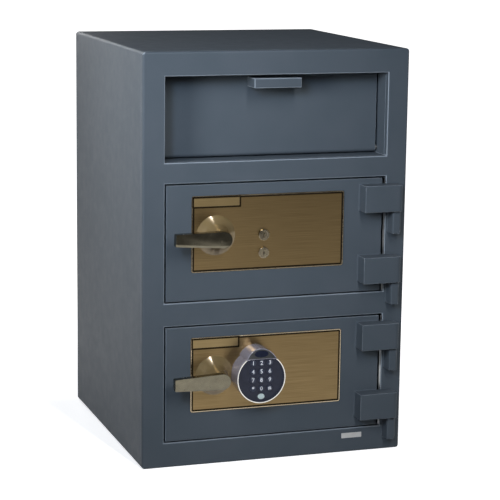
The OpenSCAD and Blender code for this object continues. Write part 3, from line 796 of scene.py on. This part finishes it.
@dataclass
class Cabinet:
    """The fixed shell with its frame, shelf sheets, knuckles and blank label."""

    frame_edge: float = 1.6
    sheet_edge: float = 0.4
    knuckle_edge: float = 1.2
    stop_edge: float = 1.2
    weld_leg: float = 1.4
    label_size: Pair = (40.5, 10.0)
    label_centre: Pair = (156.2, 32.5)
    label_corner: float = 0.8
    label_thickness: float = 0.15

    def build(self) -> None:
        """Builds and dresses every fixed piece."""
        refine("body_shell", ENAMEL, self.sheet_edge)
        refine("back_panel", ENAMEL)
        refine("front_frame", ENAMEL, self.frame_edge)
        refine("drawer_surround", ENAMEL, self.sheet_edge)
        refine("hinge_knuckles", ENAMEL, self.knuckle_edge)
        for node in ("deposit_shelf", "deposit_baffle", "compartment_divider"):
            refine(node, POWDER, self.sheet_edge)
        for node in ("drawer_brackets", "jamb_stops"):
            refine(node, POWDER, self.knuckle_edge)
        refine("drawer_stops", RUBBER, self.stop_edge)
        refine("hinge_pins", STEEL)
        self.knuckle_welds()
        self.label()

    def knuckle_welds(self) -> None:
        """Lays a painted fillet round each knuckle."""
        seat = box_of("front_frame")[0].y
        for number, (low, high) in enumerate(loose_parts("hinge_knuckles"), 1):
            mesh = weld_skirt((low.x, low.z), (high.x, high.z), seat, self.weld_leg)
            finished(mesh, f"knuckle_weld_{number}", ENAMEL, "cabinet")

    def label(self) -> None:
        """Sticks a blank label on the bottom rail."""
        front = box_of("front_frame")[0].y
        mesh = round_plate(self.label_centre, self.label_size, self.label_corner, 3)
        thicken(mesh, front, front - self.label_thickness)
        finished(mesh, "blank_label", VINYL, "cabinet")


@dataclass
class DepositDrawer:
    """The tilt-out drawer: front with a rolled edge, folded pull, and the bin behind."""

    panel_edge: float = 1.0
    pull_edge: float = 1.4
    bin_edge: float = 0.4
    rivet_radius: float = 3.0
    rivet_reach: float = 4.8
    rivet_inset: float = 12.0

    def build(self) -> None:
        """Builds and dresses the drawer's pieces."""
        refine("drawer_front", ENAMEL, self.panel_edge)
        refine("drawer_pull", ENAMEL, self.pull_edge, 3)
        refine("drawer_floor", POWDER, self.bin_edge)
        refine("drawer_cheeks", POWDER, self.bin_edge)
        refine("drawer_pivot_pins", STEEL)
        self.pull_rivets()

    def pull_rivets(self) -> None:
        """Sets the rivets that hold the pull, on the panel's inner face."""
        low, high = box_of("drawer_pull")
        inner = high.y + self.rivet_reach
        height = (low.z + high.z) / 2
        places = [(x, inner, height) for x in (low.x + self.rivet_inset, 0.0, high.x - self.rivet_inset)]
        finished(FastenerHead(self.rivet_radius).at(places), "pull_rivets", STEEL, "drawer")


@dataclass
class StoreyPart:
    """Whatever each of the two doors has one of."""

    storey: Storey

    def named(self, piece: str) -> str:
        """Puts the storey before the name of a piece, a node or a body."""
        return f"{self.storey.value}_{piece}"

    @property
    def leaf(self) -> str:
        """Names the body of the storey's door leaf."""
        return self.named("door_leaf")


@dataclass
class Door(StoreyPart):
    """One door leaf with its hinge blocks, its escutcheon and the plain badge place."""

    plate_edge: float = 1.1
    block_edge: float = 1.5
    guide_edge: float = 0.5
    weld_leg: float = 1.6
    weld_margin: float = 0.2
    escutcheon_edge: float = 0.35
    fine_edge: float = 0.12
    bite: float = 0.1
    flange_inset: float = 0.4
    flange_corner: float = 3.8
    flange_height: float = 0.25
    groove_inset: float = 1.8
    groove_width: float = 3.2
    groove_corner: float = 2.6
    groove_height: float = 0.06
    badge_size: Pair = (86.0, 15.0)
    badge_inset: Pair = (4.0, 4.2)
    badge_corner: float = 1.0
    badge_height: float = 0.5
    outline_corner: float = 1.4
    outline_height: float = 0.3
    strip_span: Pair = (3.6, 6.8)
    strip_depth: float = 0.6
    strip_thickness: float = 3.0

    def build(self) -> None:
        """Builds and dresses the door leaf."""
        refine(self.named("door"), ENAMEL, self.plate_edge)
        refine(self.named("hinge_blocks"), ENAMEL, self.block_edge)
        refine(self.named("escutcheon"), BRONZE, self.escutcheon_edge)
        refine(self.named("dead_bar"), POWDER, self.plate_edge)
        refine(self.named("bolt_guides"), POWDER, self.guide_edge)
        self.block_welds()
        self.escutcheon_border()
        self.badge_place()
        self.jamb_strip()

    def block_welds(self) -> None:
        """Lays a painted fillet round the part of each hinge block that stands on the door."""
        door_low, door_high = box_of(self.named("door"))
        right = door_high.x - self.weld_leg - self.weld_margin
        for number, (low, high) in enumerate(loose_parts(self.named("hinge_blocks")), 1):
            mesh = weld_skirt((low.x, low.z), (right, high.z), door_low.y, self.weld_leg)
            finished(mesh, self.named(f"block_weld_{number}"), ENAMEL, self.leaf)

    def stand_proud(self, mesh: bmesh.types.BMesh, height: float) -> None:
        """Makes a flat piece a solid that bites into the escutcheon and stands in front of it.

        Args:
            mesh: the flat piece.
            height: how far it stands in front in millimetres.
        """
        face = box_of(self.named("escutcheon"))[0].y
        thicken(mesh, face + self.bite, face - height)

    def ring(self, inset: float, width: float, corner: float, height: float) -> bmesh.types.BMesh:
        """Makes a thin frame that runs along the escutcheon's edge.

        Args:
            inset: the distance of its outer edge inside the escutcheon's, in millimetres.
            width: its width in millimetres.
            corner: its outer corner radius in millimetres.
            height: how far it stands in front of the escutcheon in millimetres.

        Returns:
            The frame.
        """
        low, high = box_of(self.named("escutcheon"))
        centre = ((low.x + high.x) / 2, (low.z + high.z) / 2)
        size = (high.x - low.x - 2 * inset, high.z - low.z - 2 * inset)
        mesh = round_plate(centre, size, corner, 8)
        bmesh.ops.inset_region(
            mesh, faces=list(mesh.faces), thickness=width * MM, use_even_offset=True, use_boundary=True
        )
        open_middle(mesh)
        self.stand_proud(mesh, height)
        return mesh

    def escutcheon_border(self) -> None:
        """Lays the polished flange round the escutcheon in a painted highlight, the groove in painted shade.
        """
        width = self.groove_inset - self.flange_inset
        flange = self.ring(self.flange_inset, width, self.flange_corner, self.flange_height)
        soften(flange, self.fine_edge)
        finished(flange, self.named("escutcheon_flange"), BRONZE_FLANGE_HIGHLIGHT, self.leaf)
        groove = self.ring(self.groove_inset, self.groove_width, self.groove_corner, self.groove_height)
        finished(groove, self.named("escutcheon_groove"), GROOVE, self.leaf)

    def badge_place(self) -> None:
        """Leaves a plain raised panel with a dark outline in the escutcheon's upper left corner."""
        low, high = box_of(self.named("escutcheon"))
        width, height = self.badge_size
        centre = (low.x + self.badge_inset[0] + width / 2, high.z - self.badge_inset[1] - height / 2)
        around = (width + 2 * self.groove_width, height + 2 * self.groove_width)
        outline = round_plate(centre, around, self.outline_corner, 4)
        self.stand_proud(outline, self.outline_height)
        finished(outline, self.named("badge_outline"), GROOVE, self.leaf)
        panel = round_plate(centre, self.badge_size, self.badge_corner, 4)
        self.stand_proud(panel, self.badge_height)
        soften(panel, self.fine_edge)
        finished(panel, self.named("badge_place"), BADGE, self.leaf)

    def jamb_strip(self) -> None:
        """Sets the bare steel strip that shows in the gap along the hinge side."""
        low, high = box_of(self.named("door"))
        near, far = (high.x + reach for reach in self.strip_span)
        front = low.y + self.strip_depth
        mesh = slab((near, front, low.z), (far, front + self.strip_thickness, high.z))
        finished(mesh, self.named("jamb_strip"), STEEL, "cabinet")


@dataclass
class Handle(StoreyPart):
    """A door's handle: flared boss, tapered lever, spindle and cam."""

    lever_edge: float = 1.3
    boss_edge: float = 0.5
    cam_edge: float = 0.5
    cap_radius: float = 5.0
    tip_reach: float = 20.0
    flare: tuple[Pair, ...] = (
        (23.2, 9.9),
        (25.4, 7.6),
        (28.0, 5.6),
        (31.0, 3.4),
        (34.0, 1.5),
        (36.5, 0.1),
    )

    def build(self) -> None:
        """Builds and dresses the handle's pieces."""
        axis = centre_of(self.named("handle_boss"))
        tip = (axis.x, box_of(self.named("handle_boss"))[0].y - self.tip_reach, axis.z)
        name = f"turned_bronze_{self.named('boss')}"
        bronze = TurnedMetal(name, "chrome", "#83704d", "#7c6947", (9.0,) * 3, 0.0, (0.2, 0.24), 0.3, tip=tip)
        refine(self.named("handle_boss"), bronze, self.boss_edge)
        refine(self.named("lever"), HANDLED_PLATING, self.lever_edge, 3)
        refine(self.named("spindle"), STEEL)
        refine(self.named("cam"), POWDER, self.cam_edge)
        self.flare_ring(bronze)
        self.cam_screw()

    def flare_ring(self, finish: Finish) -> None:
        """Spreads the boss's foot out over the escutcheon in a thin hollow curve.

        Args:
            finish: the boss's finish.
        """
        axis = centre_of(self.named("handle_boss"))
        seat = box_of(self.named("escutcheon"))[0].y
        mesh = bmesh.new()
        rims = []
        for radius, height in self.flare:
            place = upright_at(axis.x, seat - height, axis.z)
            rim = bmesh.ops.create_circle(mesh, segments=72, radius=radius * MM, matrix=place)
            rims.append(dict.fromkeys(edge for vert in rim["verts"] for edge in vert.link_edges))
        for inner, outer in zip(rims, rims[1:]):
            bmesh.ops.bridge_loops(mesh, edges=[*inner, *outer])
        bmesh.ops.recalc_face_normals(mesh, faces=mesh.faces)
        finished(mesh, self.named("boss_flare"), finish, self.leaf)

    def cam_screw(self) -> None:
        """Sets the screw that keeps the cam on its spindle."""
        axis = centre_of(self.named("spindle"))
        place = (axis.x, box_of(self.named("spindle"))[1].y, axis.z)
        mesh = FastenerHead(self.cap_radius).at([place])
        finished(mesh, self.named("cam_screw"), STEEL, self.named("handle"))


@dataclass
class Boltwork(StoreyPart):
    """A door's sliding bar with its three bolts."""

    bar_edge: float = 0.6
    bolt_edge: float = 0.5

    def build(self) -> None:
        """Builds and dresses the bar and its bolts."""
        refine(self.named("bolt_bar"), STEEL, self.bar_edge)
        refine(self.named("bolts"), PLATING, self.bolt_edge)


@dataclass
class LockCase:
    """A lock's case behind a door, with its cover screws and its bolt."""

    case: str
    bolt: str
    case_edge: float = 1.0
    bolt_edge: float = 0.5
    screw_radius: float = 3.4
    screw_inset: float = 7.0

    def build(self) -> None:
        """Builds and dresses the case, its bolt and its cover screws."""
        refine(self.case, STEEL, self.case_edge)
        refine(self.bolt, BRASS, self.bolt_edge)
        low, high = box_of(self.case)
        inset = self.screw_inset
        places = [
            (x, high.y, z)
            for x in (low.x + inset, high.x - inset)
            for z in (low.z + inset, high.z - inset)
        ]
        mesh = FastenerHead(self.screw_radius).at(places)
        finished(mesh, f"{self.case}_screws", BRASS, BODY_OF[self.case])


@dataclass
class KeyNoses:
    """The two rimmed noses and their turning plugs."""

    nose_edge: float = 0.5
    plug_edge: float = 0.25

    def build(self) -> None:
        """Builds and dresses the noses and plugs."""
        refine("key_noses", BRASS, self.nose_edge)
        for node in ("guard_plug", "renter_plug"):
            refine(node, BRASS, self.plug_edge)


@dataclass
class Keypad:
    """The round keypad: housing, dark face, twelve printed keys, lens and badge place."""

    housing_edge: float = 0.9
    face_edge: float = 0.2
    key_edge: float = 0.35
    figure_height: float = 7.4
    figure_share: float = 0.7
    figure_lift: float = 0.05
    figure_weight: float = 0.16
    visor_lean: float = 18.0
    visor_match: float = 0.995
    visor_margin: float = 1.3
    visor_lift: float = 0.3
    badge_size: Pair = (27.0, 12.5)
    badge_rise: float = 9.4
    badge_height: float = 0.5
    lens_size: Pair = (13.0, 10.5)
    lens_rise: float = 8.2
    lens_bite: float = 0.2
    lens_height: float = 0.7
    oval_slope: Pair = (0.9, 0.35)
    bezel_spans: tuple[Pair, ...] = ((41.6, 44.5), (44.5, 46.2))
    bezel_drop: float = 1.2
    bezel_height: float = 1.35
    bezel_thickness: float = 0.6

    FIGURES = {"key_star": "*", "key_hash": "#"}

    def build(self) -> None:
        """Builds and dresses the keypad's pieces."""
        refine("keypad_housing", SILVER_LACQUER, self.housing_edge, 3)
        refine("keypad_face", GLOSS_ABS, self.face_edge)
        for label in (*range(1, 10), "star", 0, "hash"):
            refine(f"key_{label}", SATIN_ABS, self.key_edge)
            self.figure(f"key_{label}")
        self.bezel("face_bezel", self.bezel_spans[0], GLOSS_ABS)
        self.bezel("bright_rim", self.bezel_spans[1], PLATING)
        self.visor_panel()
        self.badge_place()
        self.lens()

    def bezel(self, name: str, span: Pair, finish: Finish) -> None:
        """Sets a thin ring round the face, below the visor.

        Args:
            name: the ring's name.
            span: its inner and outer radius in millimetres.
            finish: its finish.
        """
        low, high = box_of("keypad_face")
        front = low.y - self.bezel_height
        mesh = bmesh.new()
        place = upright_at((low.x + high.x) / 2, 0, low.z + (high.x - low.x) / 2)
        bmesh.ops.create_circle(mesh, cap_ends=True, segments=96, radius=span[1] * MM, matrix=place)
        width = (span[1] - span[0]) * MM
        bmesh.ops.inset_region(mesh, faces=list(mesh.faces), thickness=width, use_boundary=True)
        open_middle(mesh)
        cut = Vector((0, 0, high.z - self.bezel_drop)) * MM
        geometry = list(mesh.verts) + list(mesh.edges) + list(mesh.faces)
        bmesh.ops.bisect_plane(mesh, geom=geometry, plane_co=cut, plane_no=(0, 0, 1), clear_outer=True)
        thicken(mesh, front + self.bezel_thickness, front)
        finished(mesh, name, finish, BODY_OF["keypad_face"])

    def visor_panel(self) -> None:
        """Lays the dark panel on the visor's leaning front."""
        lean = math.radians(self.visor_lean)
        out = Vector((0, -math.cos(lean), math.sin(lean)))
        mesh = cad_solid("keypad_housing")
        mesh.normal_update()
        others = [face for face in mesh.faces if face.normal.dot(out) < self.visor_match]
        bmesh.ops.delete(mesh, geom=others, context="FACES")
        width = self.visor_margin * MM
        bmesh.ops.inset_region(mesh, faces=list(mesh.faces), thickness=width, use_boundary=True)
        rims = [face for face in mesh.faces if any(edge.is_boundary for edge in face.edges)]
        bmesh.ops.delete(mesh, geom=rims, context="FACES")
        bmesh.ops.translate(mesh, vec=out * self.visor_lift * MM, verts=mesh.verts)
        finished(mesh, "visor_panel", VISOR, BODY_OF["keypad_housing"])

    def figure(self, node: str) -> None:
        """Prints a key's figure on its cap.

        Args:
            node: the key's node.
        """
        curve = bpy.data.curves.new(f"{node}_text", "FONT")
        curve.body = self.FIGURES.get(node, node.removeprefix("key_"))
        curve.size = self.figure_height * MM / self.figure_share
        curve.offset = self.figure_weight * MM
        curve.align_x = "CENTER"
        curve.align_y = "CENTER"
        curve.resolution_u = 4
        text = add_object(f"{node}_text", curve)
        bpy.context.view_layer.update()
        flat = bpy.data.meshes.new_from_object(text)
        mesh = bmesh.new()
        mesh.from_mesh(flat)
        bpy.data.objects.remove(text)
        bpy.data.curves.remove(curve)
        bpy.data.meshes.remove(flat)
        middle = centre_of(node)
        place = upright_at(middle.x, box_of(node)[0].y - self.figure_lift, middle.z)
        bmesh.ops.transform(mesh, matrix=place, verts=mesh.verts)
        finished(mesh, f"{node}_figure", INK, BODY_OF[node])

    def oval(self, centre: Vector, size: Pair, height: float) -> bmesh.types.BMesh:
        """Makes a low domed oval that looks forwards.

        Args:
            centre: the middle of its back in millimetres.
            size: its width and height in millimetres.
            height: how far its flat part stands out in millimetres.

        Returns:
            The oval.
        """
        mesh = bmesh.new()
        bmesh.ops.create_circle(mesh, cap_ends=True, segments=40, radius=0.5)
        bmesh.ops.scale(mesh, vec=(size[0] * MM, size[1] * MM, 1.0), verts=mesh.verts)
        bmesh.ops.transform(mesh, matrix=upright_at(centre.x, 0, centre.z), verts=mesh.verts)
        thicken(mesh, centre.y, centre.y - height)
        front = min(mesh.faces, key=lambda face: face.calc_center_median().y)
        width, rise = (length * MM for length in self.oval_slope)
        bmesh.ops.inset_individual(mesh, faces=[front], thickness=width, depth=rise)
        return mesh

    def badge_place(self) -> None:
        """Leaves a plain dark oval on the visor's leaning front."""
        front = box_of("keypad_housing")[0].y
        top = box_of("keypad_face")[1].z
        lean = math.radians(self.visor_lean)
        rise = self.badge_rise
        oval = self.oval(Vector((0, 0, 0)), self.badge_size, self.badge_height)
        middle = Vector((centre_of("keypad_face").x, front + rise * math.tan(lean), top + rise))
        place = Matrix.Translation(middle * MM) @ Matrix.Rotation(-lean, 4, "X")
        bmesh.ops.transform(oval, matrix=place, verts=oval.verts)
        finished(oval, "visor_badge_place", GLOSS_ABS, BODY_OF["keypad_housing"])

    def lens(self) -> None:
        """Sets the signal lens under the keys."""
        low = box_of("keypad_face")[0]
        middle = Vector((centre_of("keypad_face").x, low.y + self.lens_bite, low.z + self.lens_rise))
        mesh = self.oval(middle, self.lens_size, self.lens_height)
        finished(mesh, "signal_lens", LENS, BODY_OF["keypad_face"])


# The studio


@dataclass
class Lamp:
    """An area lamp, which metal may or may not mirror. Places are metres."""

    name: str
    place: Triple
    aim: Triple
    size: Pair
    power: float
    colour: str
    spread: float
    mirrored: bool = True

    def build(self) -> None:
        """Hangs the lamp and turns it to its aim."""
        data = bpy.data.lights.new(self.name, "AREA")
        data.shape = "RECTANGLE"
        data.size, data.size_y = self.size
        data.energy = self.power
        data.color = linear(self.colour)[:3]
        data.spread = math.radians(self.spread)
        lamp = add_object(self.name, data)
        lamp.location = self.place
        aim = Vector(self.aim) - Vector(self.place)
        lamp.rotation_euler = aim.to_track_quat("-Z", "Y").to_euler()
        lamp.visible_camera = False
        lamp.visible_glossy = self.mirrored


@dataclass
class Studio:
    """A pale paper floor in a dim room, soft lamps and a camera. Places are metres."""

    floor_size: float = 60.0
    paper_colour: str = "#e6e6e6"
    room_floor_colour: str = "#6e6b66"
    paper_front: Pair = (-1.8, -1.3)
    glow: Pair = (0.75, 1.2)
    glow_reach: Pair = (0.4, 0.95)
    horizon: str = "#a9abae"
    zenith: str = "#5b5e62"
    sky_rise: Pair = (0.0, 0.5)
    sky: float = 0.27
    camera_place: Triple = (-1.104654, -3.360714, 1.026411)
    camera_yaw: float = 18.73
    camera_pitch: float = 10.82
    camera_roll: float = 0.76
    focal_pixels: float = 1833.55
    frame_pixels: float = 500.0
    sensor: float = 36.0

    LAMPS = (
        Lamp("key_lamp", (-1.25, -1.95, 1.42), (-0.15, -0.25, 0.7), (0.35, 0.5), 2.5, "#cbe2ff", 54.0, False),
        Lamp("left_softbox", (-1.5, -1.0, 0.95), (-0.1, -0.2, 0.78), (0.4, 0.5), 2.4, "#ffffff", 54.0, False),
        Lamp("side_lamp", (-0.85, 0.0, 0.85), (-0.254, 0.0, 0.7), (0.3, 0.3), 0.45, "#fff6ee", 74.0),
        Lamp("strip_lamp", (-0.02, -1.86, 1.49), (-0.1175, -0.25, 0.4), (0.04, 1.63), 3.4, "#ffffff", 56.0),
        Lamp("right_softbox", (1.7, 0.3, 0.95), (0.254, 0.0, 0.4), (0.6, 0.6), 4.5, "#ffffff", 100.0),
        Lamp("rear_softbox", (-0.25, 2.0, 0.95), (0.0, 0.254, 0.4), (0.6, 0.6), 4.5, "#ffffff", 100.0),
    )

    def build(self) -> None:
        """Builds the floor, the light and the camera."""
        self.floor()
        self.world()
        for lamp in self.LAMPS:
            lamp.build()
        self.camera()
        bpy.context.scene.view_settings.view_transform = "Standard"

    def floor(self) -> None:
        """Lays the floor, which the camera sees as white paper all over.

        In metal and glass the paper ends in front of the safe, where the room's grey floor begins, and
        other rays meet only that grey floor. The paper glows where it is seen, least near the safe, so
        that it keeps the safe's shadow and goes white past it.
        """
        mesh = bmesh.new()
        bmesh.ops.create_grid(mesh, x_segments=1, y_segments=1, size=self.floor_size / 2)
        data = bpy.data.meshes.new("floor")
        mesh.to_mesh(data)
        mesh.free()
        paper = bpy.data.materials.new("matt_white_paper")
        tree = empty_tree(paper)
        place = add_node(tree, "ShaderNodeTexCoord").outputs["Object"]
        ahead = add_node(tree, "ShaderNodeSeparateXYZ", links={0: place}).outputs["Y"]
        on_paper = self.ramp(tree, ahead, self.paper_front)
        reach = add_node(tree, "ShaderNodeVectorMath", {"operation": "LENGTH"}, {0: place})
        glow = self.ramp(tree, reach.outputs["Value"], self.glow_reach, self.glow)
        shown = self.seen_share(tree, on_paper)
        colour = blend_colours(tree, shown, self.room_floor_colour, self.paper_colour)
        matt = add_node(tree, "ShaderNodeBsdfDiffuse", links={"Color": colour})
        strength = self.times(tree, glow, shown)
        light = add_node(tree, "ShaderNodeEmission", links={"Strength": strength})
        both = add_node(tree, "ShaderNodeAddShader", links={0: matt.outputs[0], 1: light.outputs[0]})
        add_node(tree, "ShaderNodeOutputMaterial", links={"Surface": both.outputs[0]})
        data.materials.append(paper)
        add_object("floor", data)

    def ramp(self, tree: Tree, value: Socket, span: Pair, result: Pair = (0.0, 1.0)) -> Socket:
        """Turns a length into a smooth change between two values.

        Args:
            tree: the node tree.
            value: the length, in metres for a place on the floor.
            span: where the change starts and ends.
            result: the values before and after it.

        Returns:
            The changed value.
        """
        settings = {
            "interpolation_type": "SMOOTHSTEP",
            "From Min": span[0],
            "From Max": span[1],
            "To Min": result[0],
            "To Max": result[1],
        }
        return add_node(tree, "ShaderNodeMapRange", settings, {"Value": value}).outputs["Result"]

    def times(self, tree: Tree, first: Socket, second: Socket) -> Socket:
        """Multiplies two values."""
        return add_node(tree, "ShaderNodeMath", {"operation": "MULTIPLY"}, {0: first, 1: second}).outputs[0]

    def seen_share(self, tree: Tree, mirrored: Socket) -> Socket:
        """Gives the share of the bright background that a ray gets.

        Args:
            tree: the node tree.
            mirrored: the share for glossy and transmission rays.

        Returns:
            One for a camera ray, the given share for a ray in metal or glass, and zero for any other.
        """
        path = add_node(tree, "ShaderNodeLightPath")
        share = path.outputs["Is Camera Ray"]
        for ray in ("Is Glossy Ray", "Is Transmission Ray"):
            part = self.times(tree, path.outputs[ray], mirrored)
            share = add_node(tree, "ShaderNodeMath", {"operation": "MAXIMUM"}, {0: share, 1: part}).outputs[0]
        return share

    def world(self) -> None:
        """Lights the room faintly, paler near the horizon than above, and shows it white to the camera."""
        world = bpy.data.worlds.new("room")
        tree = empty_tree(world)
        place = add_node(tree, "ShaderNodeTexCoord")
        parts = add_node(tree, "ShaderNodeSeparateXYZ", links={0: place.outputs["Generated"]})
        rise = self.ramp(tree, parts.outputs["Z"], self.sky_rise)
        colour = blend_colours(tree, rise, self.horizon, self.zenith)
        room = add_node(tree, "ShaderNodeBackground", {"Strength": self.sky}, {"Color": colour})
        white = add_node(tree, "ShaderNodeBackground", {"Strength": 1.0, "Color": (1.0, 1.0, 1.0, 1.0)})
        seen = add_node(tree, "ShaderNodeLightPath").outputs["Is Camera Ray"]
        both = {0: seen, 1: room.outputs[0], 2: white.outputs[0]}
        mixed = add_node(tree, "ShaderNodeMixShader", links=both)
        add_node(tree, "ShaderNodeOutputWorld", links={"Surface": mixed.outputs[0]})
        bpy.context.scene.world = world

    def camera(self) -> None:
        """Sets the camera as the photograph's was."""
        yaw, pitch, roll = (
            math.radians(angle) for angle in (self.camera_yaw, self.camera_pitch, self.camera_roll)
        )
        ahead = Vector((math.sin(yaw) * math.cos(pitch), math.cos(yaw) * math.cos(pitch), -math.sin(pitch)))
        level = Vector((math.cos(yaw), -math.sin(yaw), 0))
        above = level.cross(ahead)
        right = math.cos(roll) * level + math.sin(roll) * above
        up = -math.sin(roll) * level + math.cos(roll) * above
        data = bpy.data.cameras.new("camera")
        data.sensor_width = self.sensor
        data.lens = self.focal_pixels * self.sensor / self.frame_pixels
        camera = add_object("camera", data)
        turn = Matrix((right, up, -ahead)).transposed().to_4x4()
        camera.matrix_world = Matrix.Translation(self.camera_place) @ turn
        bpy.context.scene.camera = camera


def main() -> None:
    """Builds the safe's sub-assemblies in order, then the studio."""
    logging.basicConfig(level=logging.INFO, format="%(name)s: %(message)s")
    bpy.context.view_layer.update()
    parts: list[tuple[str, Callable[[], None]]] = [
        ("cabinet", Cabinet().build),
        ("deposit drawer", DepositDrawer().build),
    ]
    for storey in Storey:
        for kind in (Door, Handle, Boltwork):
            parts.append((f"{storey.value} {kind.__name__.lower()}", kind(storey).build))
    parts += [
        ("key lock", LockCase("key_lock_case", "key_lock_bolt").build),
        ("key noses", KeyNoses().build),
        ("electronic lock", LockCase("code_lock_case", "code_lock_bolt").build),
        ("keypad", Keypad().build),
        ("studio", Studio().build),
    ]
    for name, build in parts:
        LOG.info("building the %s", name)
        build()


if __name__ == "__main__":
    main()
